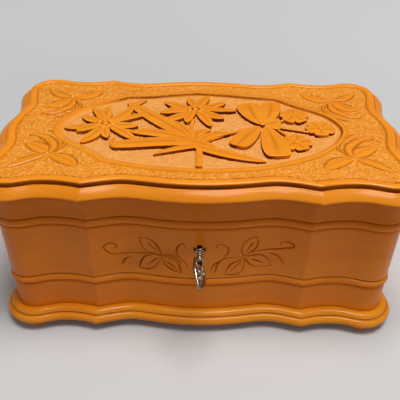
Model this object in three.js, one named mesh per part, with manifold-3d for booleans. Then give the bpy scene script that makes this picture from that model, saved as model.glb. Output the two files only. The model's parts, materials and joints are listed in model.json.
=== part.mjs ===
// Musical jewel box: a serpentine carved case with an overhanging lid, a front lock with its key,
// and a pinned cylinder movement in a bay at the right. Millimetres, +Z up, front towards -Y.

import * as THREE from 'three';
import { mergeVertices } from 'three/addons/utils/BufferGeometryUtils.js';
import Module from 'manifold-3d';

const wasm = await Module();
wasm.setup();

// Plan of the case, at the wall face
const caseLength = 229.6;        // between the end bulges
const caseDepth = 126.4;         // between the centre bulges
const cornerRadius = 13;
const hollowShare = 0.403;       // inner hollow of the front, of the way to the corner lobe
const hollowDepth = 4.3;
const cuspShare = 0.609;         // sharp upright ridge
const cuspRise = 0.1;
const cuspLean = 0.17;           // the ridge moves outwards with the mouldings
const outerHollowShare = 0.805;
const outerHollowDepth = 3;
const lobeRise = 0.6;            // corner lobe, proud of the centre bulge
const endHollowShare = 0.492;    // of the way to the corner
const endHollowDepth = 4.2;

// Heights and boards
const footHeight = 5;
const footRadius = 8;
const footInset = 3.8;             // behind the edge of the base
const baseThickness = 9;
const baseGrooveShare = 0.66;    // of the base's height
const wallHeight = 67.7;
const wallTaper = 1.2;
const endWall = 13.8;            // at the end bulge
const cleatHeight = 8;
const cleatWidth = 6;
const boardThickness = 3;        // sounding board

// Mouldings
const baseGrow = 6.5;
const baseRound = 2.9;
const baseFillet = 3.6;
const bandGroove = 1.3;
const bandProud = 1;
const lowBandZ = 33.6;
const lowBandHeight = 5;
const rimBandHeight = 5.2;
const bandLip = 0.8;
const bandShoulder = 2;          // rounded edge under each band

// Lid
const lidGap = 0.3;              // between the rim and the lid
const railHeight = 18.5;
const railInset = 6;             // the rails reach inwards past the walls
const coveFlare = 7.2;
const topThickness = 7.9;
const lidGrow = 8.9;
const edgeFoot = 1.6;
const ovoloWidth = 5.8;
const ovoloHeight = 3.6;
const borderStep = 2.2;          // from the ovolo up to the border
const borderWidth = 4.9;
const borderHeight = 1.1;
const borderGroove = 0.4;
const quirkWidth = 1.1;          // groove at the foot of the step
const quirkDepth = 0.6;
const mirrorThickness = 2;
const mirrorMargin = 6.4;        // wooden surround on each side
const surroundLip = 4.4;
const surroundHeight = 5;

// Carving of the lid's top, seen from above, in hundredths of the half length and half depth
const panelDepth = 2.2;          // sunk panel, below the field
const carvingLift = 0.2;         // flowers and leaves, above the field
const bladeShares = [0.2, 0.5, 0.8, 0.95];
const panelSteps = { left: 12, front: 5, right: 12, back: 6 };
const panelSides = {
  left: [[-48.1, 63.3], [-59.4, 50.6], [-69.7, 37.2], [-78.1, 25.3], [-83.3, 9.5], [-84.8, -9.5],
    [-80.6, -25.3], [-71.7, -38.8], [-60.9, -52.2], [-53.0, -64.9]],
  front: [[-53.0, -64.9], [-29.5, -75.2], [0.0, -79.9], [29.5, -75.9], [50.1, -64.9]],
  right: [[50.1, -64.9], [60.9, -53.8], [71.7, -42.7], [80.6, -26.9], [85.5, -6.3], [84.5, 14.2],
    [76.6, 34.0], [64.8, 47.5], [48.1, 63.3]],
  back: [[48.1, 63.3], [25.5, 68.0], [-1.0, 74.1], [-20.6, 69.3], [-33.4, 64.6], [-48.1, 63.3]],
};
const starFlowers = [            // petals from one middle; half widths in millimetres
  { middle: [-57.6, 0.6], half: 2.9, early: 0.75, blunt: 0.5, tips: [[-81.5, -7.6], [-73.2, -15.2],
    [-68.8, -35.8], [-54.5, -26.9], [-38.5, -29.7], [-37.9, -2.4], [-33.5, 23.1], [-43.6, 34.0],
    [-58.5, 37.0], [-68.8, 35.4], [-73.2, 19.0]] },
  { middle: [-3.9, 33.2], half: 2.8, early: 0.75, blunt: 0.5, tips: [[-20.1, 38.0], [-26.0, 25.3],
    [-23.0, 9.8], [-8.8, 5.7], [5.5, -0.9], [13.9, 15.2], [21.6, 32.6], [15.1, 51.6], [4.9, 65.8],
    [-9.1, 61.1], [-23.7, 52.2]] },
  { middle: [57.4, 22.8], half: 3.7, early: 0.8, blunt: 0.28, tips: [[65.4, 26.8], [57.5, 36.4],
    [49.4, 27.2], [52.3, 11.9], [62.2, 11.7]] },
  { middle: [71.1, -2.5], half: 3.7, early: 0.8, blunt: 0.28, tips: [[76.4, 8.1], [66.4, 8.8],
    [63.0, -6.2], [70.8, -16.1], [79.0, -7.3]] },
  { middle: [54.6, -30.7], half: 3.7, early: 0.8, blunt: 0.28, tips: [[63.0, -29.3], [56.4, -17.4],
    [47.3, -23.8], [48.3, -39.8], [58.0, -43.2]] },
];
const blades = [                 // root, bend, tip, half width; how early and how bluntly it widens
  [[35.6, 7.0], [32.4, 26.9], [27.0, 43.5], 8.6, 0.75, 0.22],
  [[38.5, 7.3], [43.2, 28.5], [49.6, 49.8], 8.0, 0.75, 0.25],
  [[34.8, 0.9], [27.5, -12.7], [19.6, -34.0], 6.3, 0.7, 0.28],
  [[38.7, 0.3], [40.8, -22.2], [41.7, -53.8], 8.2, 0.75, 0.24],
  [[-5.1, -26.9], [-23.6, 6.3], [-47.7, 49.8], 4.3, 0.75, 0.6],
  [[-5.9, -29.7], [-23.6, -9.5], [-41.3, -13.4], 3.6, 0.8, 0.45],
  [[-4.9, -34.2], [-25.5, -28.5], [-50.6, -41.1], 3.9, 0.8, 0.28],
  [[-2.6, -39.9], [-13.8, -41.1], [-26.5, -54.7], 2.3, 0.6, 0.7],
  [[-4.9, -25.6], [-9.3, -6.3], [-18.1, 9.8], 2.6, 0.7, 0.6],
  [[-1.6, -40.5], [13.8, -55.4], [35.4, -64.2], 3.3, 0.7, 0.55],
  [[0.4, -35.8], [-6.4, -12.7], [5.4, -10.3], 3.0, 0.7, 0.5],
  [[0.2, -36.1], [2.9, -14.2], [17.2, -15.0], 3.4, 0.7, 0.5],
  [[-1.6, -34.8], [-0.6, -53.8], [-1.0, -75.2], 1.9, 0.12, 0.06],
];

// Butt hinges
const hingeInset = 3;            // middle of the hinge, from the end wall's inner face
const hingeLength = 22;
const leafThickness = 0.8;
const leafReach = 11;
const knuckleRadius = 1.9;
const knuckleLength = 7.2;
const hingePinRadius = 0.8;

// Lock and key
const keyholeZ = 61.9;
const keyholeRadius = 3.2;
const lockWidth = 30;
const lockBelow = 9.9;           // case below the keyhole
const lockDepth = 8;
const lockFrontPlate = 2.5;
const lockBackPlate = 1.5;
const lockRim = 2.5;
const lockRoomWidth = 21;
const plugRadius = 4.7;
const noseRadius = 2.9;
const noseLength = 2;
const camRadius = 3.5;
const camPinRadius = 1;
const camTurn = Math.PI / 2;     // of the plug, from unlocked to locked
const boltTravel = camRadius;    // a quarter turn draws the bolt across by the cam's radius
const boltLeft = 3.5;            // from the plug's axis
const boltRight = 8;
const boltBelow = 4.9;
const boltAbove = 17;
const nibLength = 4.5;           // catches the hook
const nibHeight = 3.4;
const hookRoomHeight = 5.5;      // under the nib
const hookThickness = 2;
const hookStem = 2.2;
const hookHeel = 2.2;
const hookMargin = 0.7;          // past the drawn-back bolt
const strikeThickness = 1;
const strikeWidth = 26;
const strikeBorder = 2.2;
const keyTurn = THREE.MathUtils.degToRad(22);
const shankRadius = 1.4;
const bitReach = 2.2;
const bitThickness = 1.1;
const collarStart = 3;           // from the wall face
const collarLength = 8;
const collarRadius = 2.7;
const bowLength = 20;
const bowHeight = 13.6;
const bowThickness = 1.8;
const bowRim = 1.7;

// Fitting out
const bayMargin = 5.5;           // between the divider and the bedplate
const dividerThickness = 4;
const dividerDrop = 5;           // below the rim
const liningThickness = 1.2;
const ringShelfLength = 44;
const ringShelfHeight = 24;
const ringRollCount = 4;
const ringRollHeight = 12;
const paneThickness = 2;
const paneDrop = 11.7;           // top of the pane below the rim
const paneCleatHeight = 4;
const frontLedge = 5;
const rearLedge = 10;
const paneLap = 4;
const fit = 0.3;                 // clearance of pieces that are let in or turn

// Musical movement, from the foot of the barrel's axis
const bedMargin = 3.5;           // between the bedplate and the end wall
const movementY = -27;
const bedThickness = 2.5;
const bedLeft = 20;
const bedRight = 30;
const bedFront = 16;
const bedBehind = 6.4;           // behind the endless screw
const bedCorner = 4;
const crownTeeth = 24;
const crownModule = 1;
const crownFace = 2.6;
const barrelHeight = 9.4;
const barrelLift = 0.6;
const windingRadius = 2;
const bridgeWidth = 8;
const bridgeThickness = 1.2;
const bridgeLeg = 3;
const pinionTeeth = 8;
const drumRadius = 7;
const drumLength = 34;
const drumStart = 16;
const noteCount = 22;
const pinsPerNote = 2;
const pinHeight = 0.9;
const pinWidth = 0.5;
const arborRadius = 1.3;
const toothTip = 0.75;           // tooth proportions, in modules
const toothRoot = 1.15;
const rootHalfWidth = 0.62;
const tipHalfWidth = 0.28;
const trainModule = 0.5;
const spindleRadius = 0.9;       // governor and fly
const wheelTeeth = 36;
const governorTeeth = 9;
const wormTeeth = 24;
const wheelFace = 1.5;
const wormRadius = 1.5;          // pitch radius of the endless screw
const wormTurns = 3;
const threadRoot = 1.05;         // thread proportions, in modules
const threadCrest = 0.7;
const threadRootHalf = 0.6;
const threadCrestHalf = 0.26;
const wormMargin = 1.8;          // behind the cylinder's rear bracket
const flyRadius = 6.2;
const flyHeight = 4.8;
const flyZ = 25.2;
const combThickness = 1.1;
const combHeel = 8;
const combShortest = 8;
const combLongest = 12;
const combGap = 0.25;            // tips clear of the pins
const toothGap = 0.35;           // saw cut between two teeth
const toothTaper = 0.18;         // of the pitch, on each side
const screwHeadRadius = 1.8;
const screwHeadHeight = 1.4;
const bracketThickness = 1.1;
const bracketWidth = 8;
const bracketHead = 3;           // above the axis it carries
const frameLeft = 4;             // governor frame, on each side of its spindle
const frameRight = 3;
const frameBehind = 2;
const stopRadius = 0.9;
const stopInset = 3;             // in front of the back wall's inner face
const stopFoot = 1.9;            // from the wire's level stretch down to the fly
const stopBend = 1.6;

// Winding key and its well
const wellRadius = 18;
const keyHubRadius = 3.4;
const keyHubHeight = 12;
const keyWingSpan = 24;
const keyWingHeight = 9;
const keyWingThickness = 2.4;

// Levels and places that follow
const wallZ = footHeight + baseThickness;
const rimZ = wallZ + wallHeight;
const railZ = rimZ + lidGap;
const topZ = railZ + railHeight;
const boardZ = wallZ + cleatHeight;
const floorZ = boardZ + boardThickness;
const bedZ = floorZ + bedThickness;
const frontY = caseDepth / 2;
const lobeX = caseLength / 2 - cornerRadius;
const seamY = frontY + lobeRise - cornerRadius;   // the walls butt together here
const roomX = caseLength / 2 - endWall;
const hollowX = lobeX * hollowShare;
const cuspX = lobeX * cuspShare;
const outerHollowX = lobeX * outerHollowShare;
const endHollowY = seamY * endHollowShare;
const railX = roomX - railInset;
const railY = seamY - railInset;
const paneZ = rimZ - paneDrop - paneThickness;
const hingeX = roomX - hingeInset;
const hingeY = frontY + lobeRise + bandProud + fit + knuckleRadius;
const hingeZ = rimZ + lidGap / 2;
const lockRoomY0 = -seamY - lockDepth + lockFrontPlate;
const lockRoomY1 = -seamY - lockBackPlate;
const nibZ = keyholeZ + boltAbove - nibHeight;
const hookX0 = -boltLeft - boltTravel - fit - hookStem;
const hookX1 = -boltLeft - hookMargin;
const hookY0 = (lockRoomY0 + lockRoomY1 - hookThickness) / 2;
const hookZ0 = nibZ - fit - hookHeel;
const keyReach = collarStart + collarLength + bowLength;
const movementX = roomX - bedMargin - bedRight;
const dividerX = movementX - bedLeft - bayMargin - dividerThickness;
const crownRadius = crownTeeth * crownModule / 2;
const crownZ = barrelLift + barrelHeight + crownModule;
const drumZ = crownZ + pinionTeeth * crownModule / 2;
const governorX = -(wheelTeeth + governorTeeth) * trainModule / 2;
const wormX = governorX + wormTeeth * trainModule / 2 + wormRadius;
const wormLead = Math.PI * trainModule;
const drumEnd = drumStart + drumLength;
const wheelY = drumEnd + fit * 2;
const rearBracketY = wheelY + wheelFace + fit * 2;
const wormReach = wormRadius + trainModule;
const wormY = rearBracketY + bracketThickness + wormMargin + wormReach;
const bedBack = wormY + bedBehind;

// Materials
const finishes = {
  honeyWood: [0xc9771f, 0.34, 0],
  paleWood: [0xd9b27a, 0.6, 0],
  velvet: [0x6e1420, 0.95, 0],
  brass: [0xc9a24a, 0.3, 1],
  steel: [0xb9bcc2, 0.25, 1],
  castIron: [0x8c8f94, 0.5, 1],
  nickel: [0xc2bdb2, 0.3, 1],
  mirror: [0xdfe5e8, 0.05, 1],
  pane: [0xe6eef0, 0.05, 0],
};

// Solids

function toSolid(geometry) {
  const bare = geometry.clone();
  bare.deleteAttribute('normal');
  bare.deleteAttribute('uv');
  const merged = mergeVertices(bare);
  const mesh = new wasm.Mesh({
    numProp: 3,
    vertProperties: new Float32Array(merged.attributes.position.array),
    triVerts: new Uint32Array(merged.index.array),
  });
  return new wasm.Manifold(mesh);
}

function toGeometry(solid) {
  const mesh = solid.getMesh();
  const geometry = new THREE.BufferGeometry();
  geometry.setAttribute('position', new THREE.BufferAttribute(mesh.vertProperties, 3));
  geometry.setIndex(new THREE.BufferAttribute(mesh.triVerts, 1));
  geometry.computeVertexNormals();
  return geometry;
}

function join(...geometries) {
  return toGeometry(geometries.map(toSolid).reduce((whole, piece) => whole.add(piece)));
}

function cut(geometry, ...tools) {
  return toGeometry(tools.map(toSolid).reduce((rest, tool) => rest.subtract(tool), toSolid(geometry)));
}

function block(x0, x1, y0, y1, z0, z1) {
  const box = new THREE.BoxGeometry(x1 - x0, y1 - y0, z1 - z0);
  return box.translate((x0 + x1) / 2, (y0 + y1) / 2, (z0 + z1) / 2);
}

function rodZ(radius, x, y, z0, z1, sides = 20) {
  const rod = new THREE.CylinderGeometry(radius, radius, z1 - z0, sides);
  return rod.rotateX(Math.PI / 2).translate(x, y, (z0 + z1) / 2);
}

function rodY(radius, x, z, y0, y1, sides = 20) {
  return new THREE.CylinderGeometry(radius, radius, y1 - y0, sides).translate(x, (y0 + y1) / 2, z);
}

function rodX(radius, y, z, x0, x1, sides = 16) {
  const rod = new THREE.CylinderGeometry(radius, radius, x1 - x0, sides);
  return rod.rotateZ(Math.PI / 2).translate((x0 + x1) / 2, y, z);
}

function turned(profile, sides) {
  const points = profile.map(([radius, z]) => new THREE.Vector2(radius, z));
  return new THREE.LatheGeometry(points, sides).rotateX(Math.PI / 2);
}

function plate(shape, z0, z1) {
  return new THREE.ExtrudeGeometry(shape, { depth: z1 - z0, bevelEnabled: false }).translate(0, 0, z0);
}

// Closed loft through level outlines of equal count, counterclockwise from above
function loft(rows) {
  const count = rows[0].outline.length;
  const positions = rows.flatMap(({ outline, z }) => outline.flatMap((p) => [p.x, p.y, z]));
  const index = [];
  for (let row = 0; row < rows.length - 1; row++) {
    for (let i = 0; i < count; i++) {
      const a = row * count + i;
      const b = row * count + (i + 1) % count;
      index.push(a, b, b + count, a, b + count, a + count);
    }
  }
  const last = (rows.length - 1) * count;
  for (const [a, b, c] of THREE.ShapeUtils.triangulateShape(rows[0].outline, [])) {
    index.push(a, c, b);
  }
  for (const [a, b, c] of THREE.ShapeUtils.triangulateShape(rows.at(-1).outline, [])) {
    index.push(last + a, last + b, last + c);
  }
  const geometry = new THREE.BufferGeometry();
  geometry.setAttribute('position', new THREE.Float32BufferAttribute(positions, 3));
  geometry.setIndex(index);
  geometry.computeVertexNormals();
  return geometry;
}

// Serpentine plan

const stretchSteps = { bulge: 3, toCusp: 3, fromCusp: 2, toLobe: 3, corner: 3, toEndHollow: 2, toEnd: 2 };
const seamIndex = stretchSteps.bulge + stretchSteps.toCusp + stretchSteps.fromCusp
  + stretchSteps.toLobe + stretchSteps.corner;

function bend(fromX, fromY, leaveX, leaveY, arriveX, arriveY, toX, toY) {
  return new THREE.CubicBezierCurve(
    new THREE.Vector2(fromX, fromY),
    new THREE.Vector2(fromX + leaveX, fromY + leaveY),
    new THREE.Vector2(toX - arriveX, toY - arriveY),
    new THREE.Vector2(toX, toY),
  );
}

// From the front centre round the right-hand corner to the end bulge
function quarter(grow) {
  const centreY = -(frontY + grow);
  const ridgeX = cuspX + cuspLean * grow;
  const ridgeY = centreY - cuspRise;
  const innerY = centreY + hollowDepth;
  const outerY = centreY + outerHollowDepth;
  const lobeY = centreY - lobeRise;
  const endX = caseLength / 2 + grow;
  const innerRun = ridgeX - hollowX;
  const outerRun = outerHollowX - ridgeX;
  const lobeRun = lobeX - outerHollowX;
  const endRun = seamY - endHollowY;
  const round = cornerRadius + grow;
  const curves = [
    [bend(0, centreY, hollowX / 2, 0, hollowX / 5, 0, hollowX, innerY), stretchSteps.bulge],
    [bend(hollowX, innerY, innerRun * 0.3, 0, innerRun * 0.38, -hollowDepth / 2, ridgeX, ridgeY),
      stretchSteps.toCusp],
    [bend(ridgeX, ridgeY, outerRun * 0.3, outerHollowDepth * 0.6, outerRun * 0.4, 0,
      outerHollowX, outerY), stretchSteps.fromCusp],
    [bend(outerHollowX, outerY, lobeRun * 0.5, 0, lobeRun * 0.35, 0, lobeX, lobeY), stretchSteps.toLobe],
    [new THREE.EllipseCurve(lobeX, -seamY, round, round, -Math.PI / 2, 0), stretchSteps.corner],
    [bend(endX, -seamY, 0, endRun * 0.35, 0, endRun * 0.35, endX - endHollowDepth, -endHollowY),
      stretchSteps.toEndHollow],
    [bend(endX - endHollowDepth, -endHollowY, 0, endHollowY * 0.35, 0, endHollowY * 0.5, endX, 0),
      stretchSteps.toEnd],
  ];
  const points = [new THREE.Vector2(0, centreY)];
  for (const [curve, steps] of curves) {
    points.push(...curve.getPoints(steps).slice(1));
  }
  return points;
}

function mirrorX(points) {
  return points.map((p) => new THREE.Vector2(-p.x, p.y)).reverse();
}

function mirrorY(points) {
  return points.map((p) => new THREE.Vector2(p.x, -p.y)).reverse();
}

function wholePlan(grow) {
  const front = quarter(grow);
  const right = [...front, ...mirrorY(front).slice(1)];
  return [...right, ...mirrorX(right).slice(1, -1)];
}

function frontPlan(grow) {
  const half = quarter(grow).slice(0, seamIndex + 1);
  return [...mirrorX(half), ...half.slice(1)];
}

function rightPlan(grow) {
  const half = quarter(grow).slice(seamIndex);
  return [...half, ...mirrorY(half).slice(1)];
}

function loftProfile(profile, outlineAt) {
  return loft(profile.map(([grow, z]) => ({ outline: outlineAt(grow), z })));
}

// Profiles, as [outwards, height] from the bottom up

function halfRound(grow, proud, z0, z1, steps) {
  const rows = [];
  for (let i = 0; i <= steps; i++) {
    const angle = Math.PI * i / steps;
    rows.push([grow + proud * Math.sin(angle), (z0 + z1) / 2 - (z1 - z0) / 2 * Math.cos(angle)]);
  }
  return rows;
}

function quarterRound(grow, width, z0, height, steps) {
  const rows = [];
  for (let i = 0; i <= steps; i++) {
    const angle = Math.PI / 2 * i / steps;
    rows.push([grow + width * Math.cos(angle), z0 + height * Math.sin(angle)]);
  }
  return rows;
}

// Rounded upper edge of a wall face, under a band
function shoulder(grow, bandZ) {
  return [[grow, bandZ - bandShoulder], [grow - bandGroove * 0.4, bandZ - bandShoulder * 0.3]];
}

function wallProfile() {
  const rimBandZ = rimZ - rimBandHeight;
  const bead = bandGroove + bandProud;
  const lowGrow = -wallTaper * (rimZ - lowBandZ) / wallHeight;
  return [
    [-wallTaper, wallZ],
    ...shoulder(lowGrow, lowBandZ),
    ...halfRound(lowGrow - bandGroove, bead, lowBandZ, lowBandZ + lowBandHeight, 4),
    [lowGrow, lowBandZ + lowBandHeight + bandLip],
    ...shoulder(0, rimBandZ),
    ...halfRound(-bandGroove, bead, rimBandZ, rimZ, 4),
  ];
}

function baseProfile() {
  const grooveZ = footHeight + baseThickness * baseGrooveShare;
  const upperHeight = wallZ - grooveZ - borderGroove;
  return [
    ...halfRound(baseGrow - baseRound, baseRound, footHeight, grooveZ, 4),
    ...quarterRound(0, baseFillet, wallZ - upperHeight, upperHeight, 3),
  ];
}

function coveProfile() {
  const rows = [[-bandProud, railZ], [bandProud / 2, railZ + bandLip]];
  const coveZ = railZ + 2 * bandLip;
  for (let i = 0; i <= 5; i++) {
    const angle = Math.PI / 2 * i / 5;
    const grow = bandProud / 2 + coveFlare * (1 - Math.cos(angle));
    rows.push([grow, coveZ + (topZ - coveZ) * Math.sin(angle)]);
  }
  return rows;
}

function topProfile() {
  const grooveZ = topZ + topThickness - borderHeight;
  const stepZ = grooveZ - borderStep;
  const grooveGrow = lidGrow - ovoloWidth;
  const innerGrow = grooveGrow - quirkWidth - borderGroove - borderWidth;
  const border = halfRound(0, borderHeight, -borderWidth / 2, borderWidth / 2, 3);
  const borderMid = grooveGrow - quirkWidth - borderWidth / 2;
  return [
    [lidGrow - edgeFoot, topZ],
    ...quarterRound(grooveGrow, ovoloWidth, stepZ - ovoloHeight, ovoloHeight, 3),
    [grooveGrow - quirkWidth, stepZ - quirkDepth],
    ...border.map(([rise, across]) => [borderMid - across, grooveZ + rise]),
    [innerGrow + borderGroove / 2, grooveZ - borderGroove],
    [innerGrow, grooveZ + borderHeight / 2],
  ];
}

// Carving

function carvingPoint([x, y]) {
  return new THREE.Vector2(x * lobeX / 100, y * frontY / 100);
}

function panelOutline() {
  return Object.entries(panelSides).flatMap(([side, points]) => {
    const curve = new THREE.SplineCurve(points.map(carvingPoint));
    return curve.getPoints(panelSteps[side]).slice(1);
  });
}

// Leaf or petal that widens from its root and narrows again to its tip
function bladeOutline(root, middle, tip, half, early, blunt) {
  const spine = new THREE.QuadraticBezierCurve(root, middle, tip);
  const widest = early / (early + blunt);
  const peak = widest ** early * (1 - widest) ** blunt;
  const sides = bladeShares.map((share) => {
    const width = half * share ** early * (1 - share) ** blunt / peak;
    const along = spine.getTangent(share);
    const across = new THREE.Vector2(-along.y, along.x).multiplyScalar(width);
    const point = spine.getPoint(share);
    return [point.clone().sub(across), point.clone().add(across)];
  });
  return [root, ...sides.map(([right]) => right), tip, ...sides.map(([, left]) => left).reverse()];
}

function carvedTop() {
  const fieldZ = topZ + topThickness - borderHeight / 2;
  const panelZ = fieldZ - panelDepth;
  const outlines = blades.map(([root, middle, tip, ...widths]) => (
    bladeOutline(...[root, middle, tip].map(carvingPoint), ...widths)));
  for (const { middle, half, early, blunt, tips } of starFlowers) {
    const centre = carvingPoint(middle);
    for (const tip of tips.map(carvingPoint)) {
      outlines.push(bladeOutline(centre, centre.clone().lerp(tip, 0.5), tip, half, early, blunt));
    }
  }
  const board = loftProfile(topProfile(), wholePlan);
  const panel = plate(new THREE.Shape(panelOutline()), panelZ, fieldZ + 1);
  const carvings = outlines.map((outline) => (
    plate(new THREE.Shape(outline), panelZ - 1, fieldZ + carvingLift)));
  return join(cut(board, panel), ...carvings);
}

// Scene graph

const root = new THREE.Group();
const lid = new THREE.Group();
const movement = new THREE.Group();
const keyFrame = new THREE.Group();

function addPart(group, name, geometry, finish) {
  const [color, roughness, metalness] = finishes[finish];
  const mesh = new THREE.Mesh(geometry, new THREE.MeshStandardMaterial({ color, roughness, metalness }));
  mesh.name = name;
  group.add(mesh);
  return mesh;
}

// Case

function addBase() {
  const board = loftProfile(baseProfile(), wholePlan);
  const well = rodZ(wellRadius, movementX, movementY, footHeight - 1, wallZ + 1, 32);
  addPart(root, 'base_board', cut(board, well), 'honeyWood');
  const footY = frontY + lobeRise + baseGrow - footInset - footRadius;
  const foot = [[0, 0], [footRadius * 0.86, 0], [footRadius, footHeight * 0.3], [footRadius, footHeight],
    [0, footHeight]];
  for (const [side, x] of [['left', -lobeX], ['right', lobeX]]) {
    for (const [end, y] of [['front', -footY], ['back', footY]]) {
      addPart(root, `foot_${end}_${side}`, turned(foot, 20), 'honeyWood').position.set(x, y, 0);
    }
  }
}

function leafPocket(x, z0, z1) {
  const half = hingeLength / 2 + fit;
  return block(x - half, x + half, hingeY - knuckleRadius - leafReach - fit, hingeY, z0, z1);
}

function addWalls() {
  const lockHalf = lockWidth / 2 + fit;
  const mortise = block(-lockHalf, lockHalf, -seamY - lockDepth - fit, -seamY + 1,
    keyholeZ - lockBelow - fit, rimZ + 1);
  const keyhole = rodY(keyholeRadius, 0, keyholeZ, -frontY - 2, -seamY, 24);
  const front = loftProfile(wallProfile(), frontPlan);
  const back = front.clone().rotateZ(Math.PI);
  const pockets = [-hingeX, hingeX].map((x) => leafPocket(x, rimZ - leafThickness, rimZ + 1));
  addPart(root, 'front_wall', cut(front, mortise, keyhole), 'honeyWood');
  addPart(root, 'back_wall', cut(back, ...pockets), 'honeyWood');
  const inner = [new THREE.Vector2(roomX, seamY), new THREE.Vector2(roomX, -seamY)];
  const right = loftProfile(wallProfile(), (grow) => [...rightPlan(grow), ...inner]);
  addPart(root, 'right_wall', right, 'honeyWood');
  addPart(root, 'left_wall', right.clone(), 'honeyWood').rotation.z = Math.PI;
}

function addFloor() {
  for (const [end, side] of [['front', -1], ['back', 1]]) {
    const y0 = side > 0 ? seamY - cleatWidth : -seamY;
    const cleat = block(-roomX + fit, roomX - fit, y0, y0 + cleatWidth, wallZ, boardZ);
    addPart(root, `floor_cleat_${end}`, cleat, 'paleWood');
  }
  const board = block(-roomX + fit, roomX - fit, -seamY + fit, seamY - fit, boardZ, floorZ);
  const hole = rodZ(windingRadius + 1, movementX, movementY, boardZ - 1, floorZ + 1);
  addPart(root, 'sounding_board', cut(board, hole), 'paleWood');
}

// Fitting out

function addDividerAndPane() {
  const bayX = dividerX + dividerThickness;
  addPart(root, 'bay_divider', block(dividerX, bayX, -seamY + fit, seamY - fit, floorZ, rimZ - dividerDrop),
    'honeyWood');
  const ledgeZ = paneZ - paneCleatHeight;
  const x0 = bayX + fit;
  const x1 = roomX - fit;
  addPart(root, 'pane_ledge_front', block(x0, x1, -seamY, -seamY + frontLedge, ledgeZ, paneZ), 'honeyWood');
  const rear = block(x0, x1, seamY - rearLedge, seamY, ledgeZ, paneZ + paneThickness);
  const rebate = block(x0 - 1, x1 + 1, seamY - rearLedge - 1, seamY - rearLedge + paneLap + fit,
    paneZ, paneZ + paneThickness + 1);
  const rodHole = rodZ(stopRadius + fit, movementX + wormX, seamY - stopInset, ledgeZ - 1, rimZ);
  addPart(root, 'pane_ledge_back', cut(rear, rebate, rodHole), 'honeyWood');
  const pane = block(x0, x1, -seamY + fit, seamY - rearLedge + paneLap, paneZ, paneZ + paneThickness);
  addPart(root, 'cover_pane', pane, 'pane');
}

function addLining() {
  const x0 = -roomX + fit;
  const x1 = dividerX - fit;
  const y1 = seamY - fit;
  const z1 = rimZ - dividerDrop;
  const t = liningThickness;
  const tray = cut(
    block(x0, x1, -y1, y1, floorZ, z1),
    block(x0 + t, x1 - t, -y1 + t, y1 - t, floorZ + t, z1 + 1),
  );
  addPart(root, 'velvet_lining', tray, 'velvet');
  const shelfX = x0 + t + fit;
  const shelfY = y1 - t - fit;
  const shelfZ = floorZ + t;
  const shelfTop = shelfZ + ringShelfHeight;
  const shelf = block(shelfX, shelfX + ringShelfLength, -shelfY, shelfY, shelfZ, shelfTop);
  addPart(root, 'ring_shelf', shelf, 'velvet');
  const pitch = ringShelfLength / ringRollCount;
  const halfWidth = pitch / 2 - fit / 2;
  const outline = new THREE.Shape();
  outline.moveTo(-halfWidth, 0);
  outline.lineTo(halfWidth, 0);
  outline.lineTo(halfWidth, ringRollHeight - halfWidth);
  outline.absarc(0, ringRollHeight - halfWidth, halfWidth, 0, Math.PI, false);
  const rollLength = 2 * shelfY;
  const options = { depth: rollLength, bevelEnabled: false, curveSegments: 6 };
  for (let i = 0; i < ringRollCount; i++) {
    const roll = new THREE.ExtrudeGeometry(outline, options);
    roll.rotateX(Math.PI / 2).translate(0, rollLength / 2, 0);
    addPart(root, `ring_roll_${i + 1}`, roll, 'velvet')
      .position.set(shelfX + pitch * (i + 0.5), 0, shelfTop + fit);
  }
}

// Lid, closed

function addLid() {
  const lap = [
    new THREE.Vector2(railX, -seamY),
    new THREE.Vector2(railX, -railY),
    new THREE.Vector2(-railX, -railY),
    new THREE.Vector2(-railX, -seamY),
  ];
  const front = loftProfile(coveProfile(), (grow) => [...frontPlan(grow), ...lap]);
  const back = front.clone().rotateZ(Math.PI);
  const strikeX = strikeWidth / 2;
  const strikeY0 = lockRoomY0 - strikeBorder;
  const strikeY1 = lockRoomY1 + strikeBorder;
  const strikeRecess = block(-strikeX - fit, strikeX + fit, strikeY0 - fit, strikeY1 + fit,
    railZ - 1, railZ + strikeThickness);
  const pockets = [-hingeX, hingeX].map((x) => leafPocket(x, railZ - 1, railZ + leafThickness));
  addPart(lid, 'lid_front_rail', cut(front, strikeRecess), 'honeyWood');
  addPart(lid, 'lid_back_rail', cut(back, ...pockets), 'honeyWood');
  const inner = [new THREE.Vector2(railX, seamY), new THREE.Vector2(railX, -seamY)];
  const right = loftProfile(coveProfile(), (grow) => [...rightPlan(grow), ...inner]);
  addPart(lid, 'lid_right_rail', right, 'honeyWood');
  addPart(lid, 'lid_left_rail', right.clone(), 'honeyWood').rotation.z = Math.PI;
  addPart(lid, 'lid_top', carvedTop(), 'honeyWood');
  addPart(lid, 'lock_strike', join(
    block(-strikeX, strikeX, strikeY0, strikeY1, railZ, railZ + strikeThickness),
    block(hookX0, hookX0 + hookStem, hookY0, hookY0 + hookThickness, hookZ0, railZ + strikeThickness),
    block(hookX0, hookX1, hookY0, hookY0 + hookThickness, hookZ0, hookZ0 + hookHeel),
  ), 'brass');
}

function addMirror() {
  const x = railX - fit;
  const y = railY - fit;
  const lipZ = topZ - surroundHeight;
  const rebateZ = topZ - mirrorThickness - fit;
  const surround = cut(
    block(-x, x, -y, y, lipZ, topZ),
    block(-x + mirrorMargin, x - mirrorMargin, -y + mirrorMargin, y - mirrorMargin, rebateZ, topZ + 1),
    block(-x + mirrorMargin + surroundLip, x - mirrorMargin - surroundLip,
      -y + mirrorMargin + surroundLip, y - mirrorMargin - surroundLip, lipZ - 1, topZ),
  );
  addPart(lid, 'mirror_surround', surround, 'honeyWood');
  const glassX = x - mirrorMargin - fit;
  const glassY = y - mirrorMargin - fit;
  const glass = block(-glassX, glassX, -glassY, glassY, topZ - mirrorThickness, topZ);
  addPart(lid, 'lid_mirror', glass, 'mirror');
}

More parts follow.
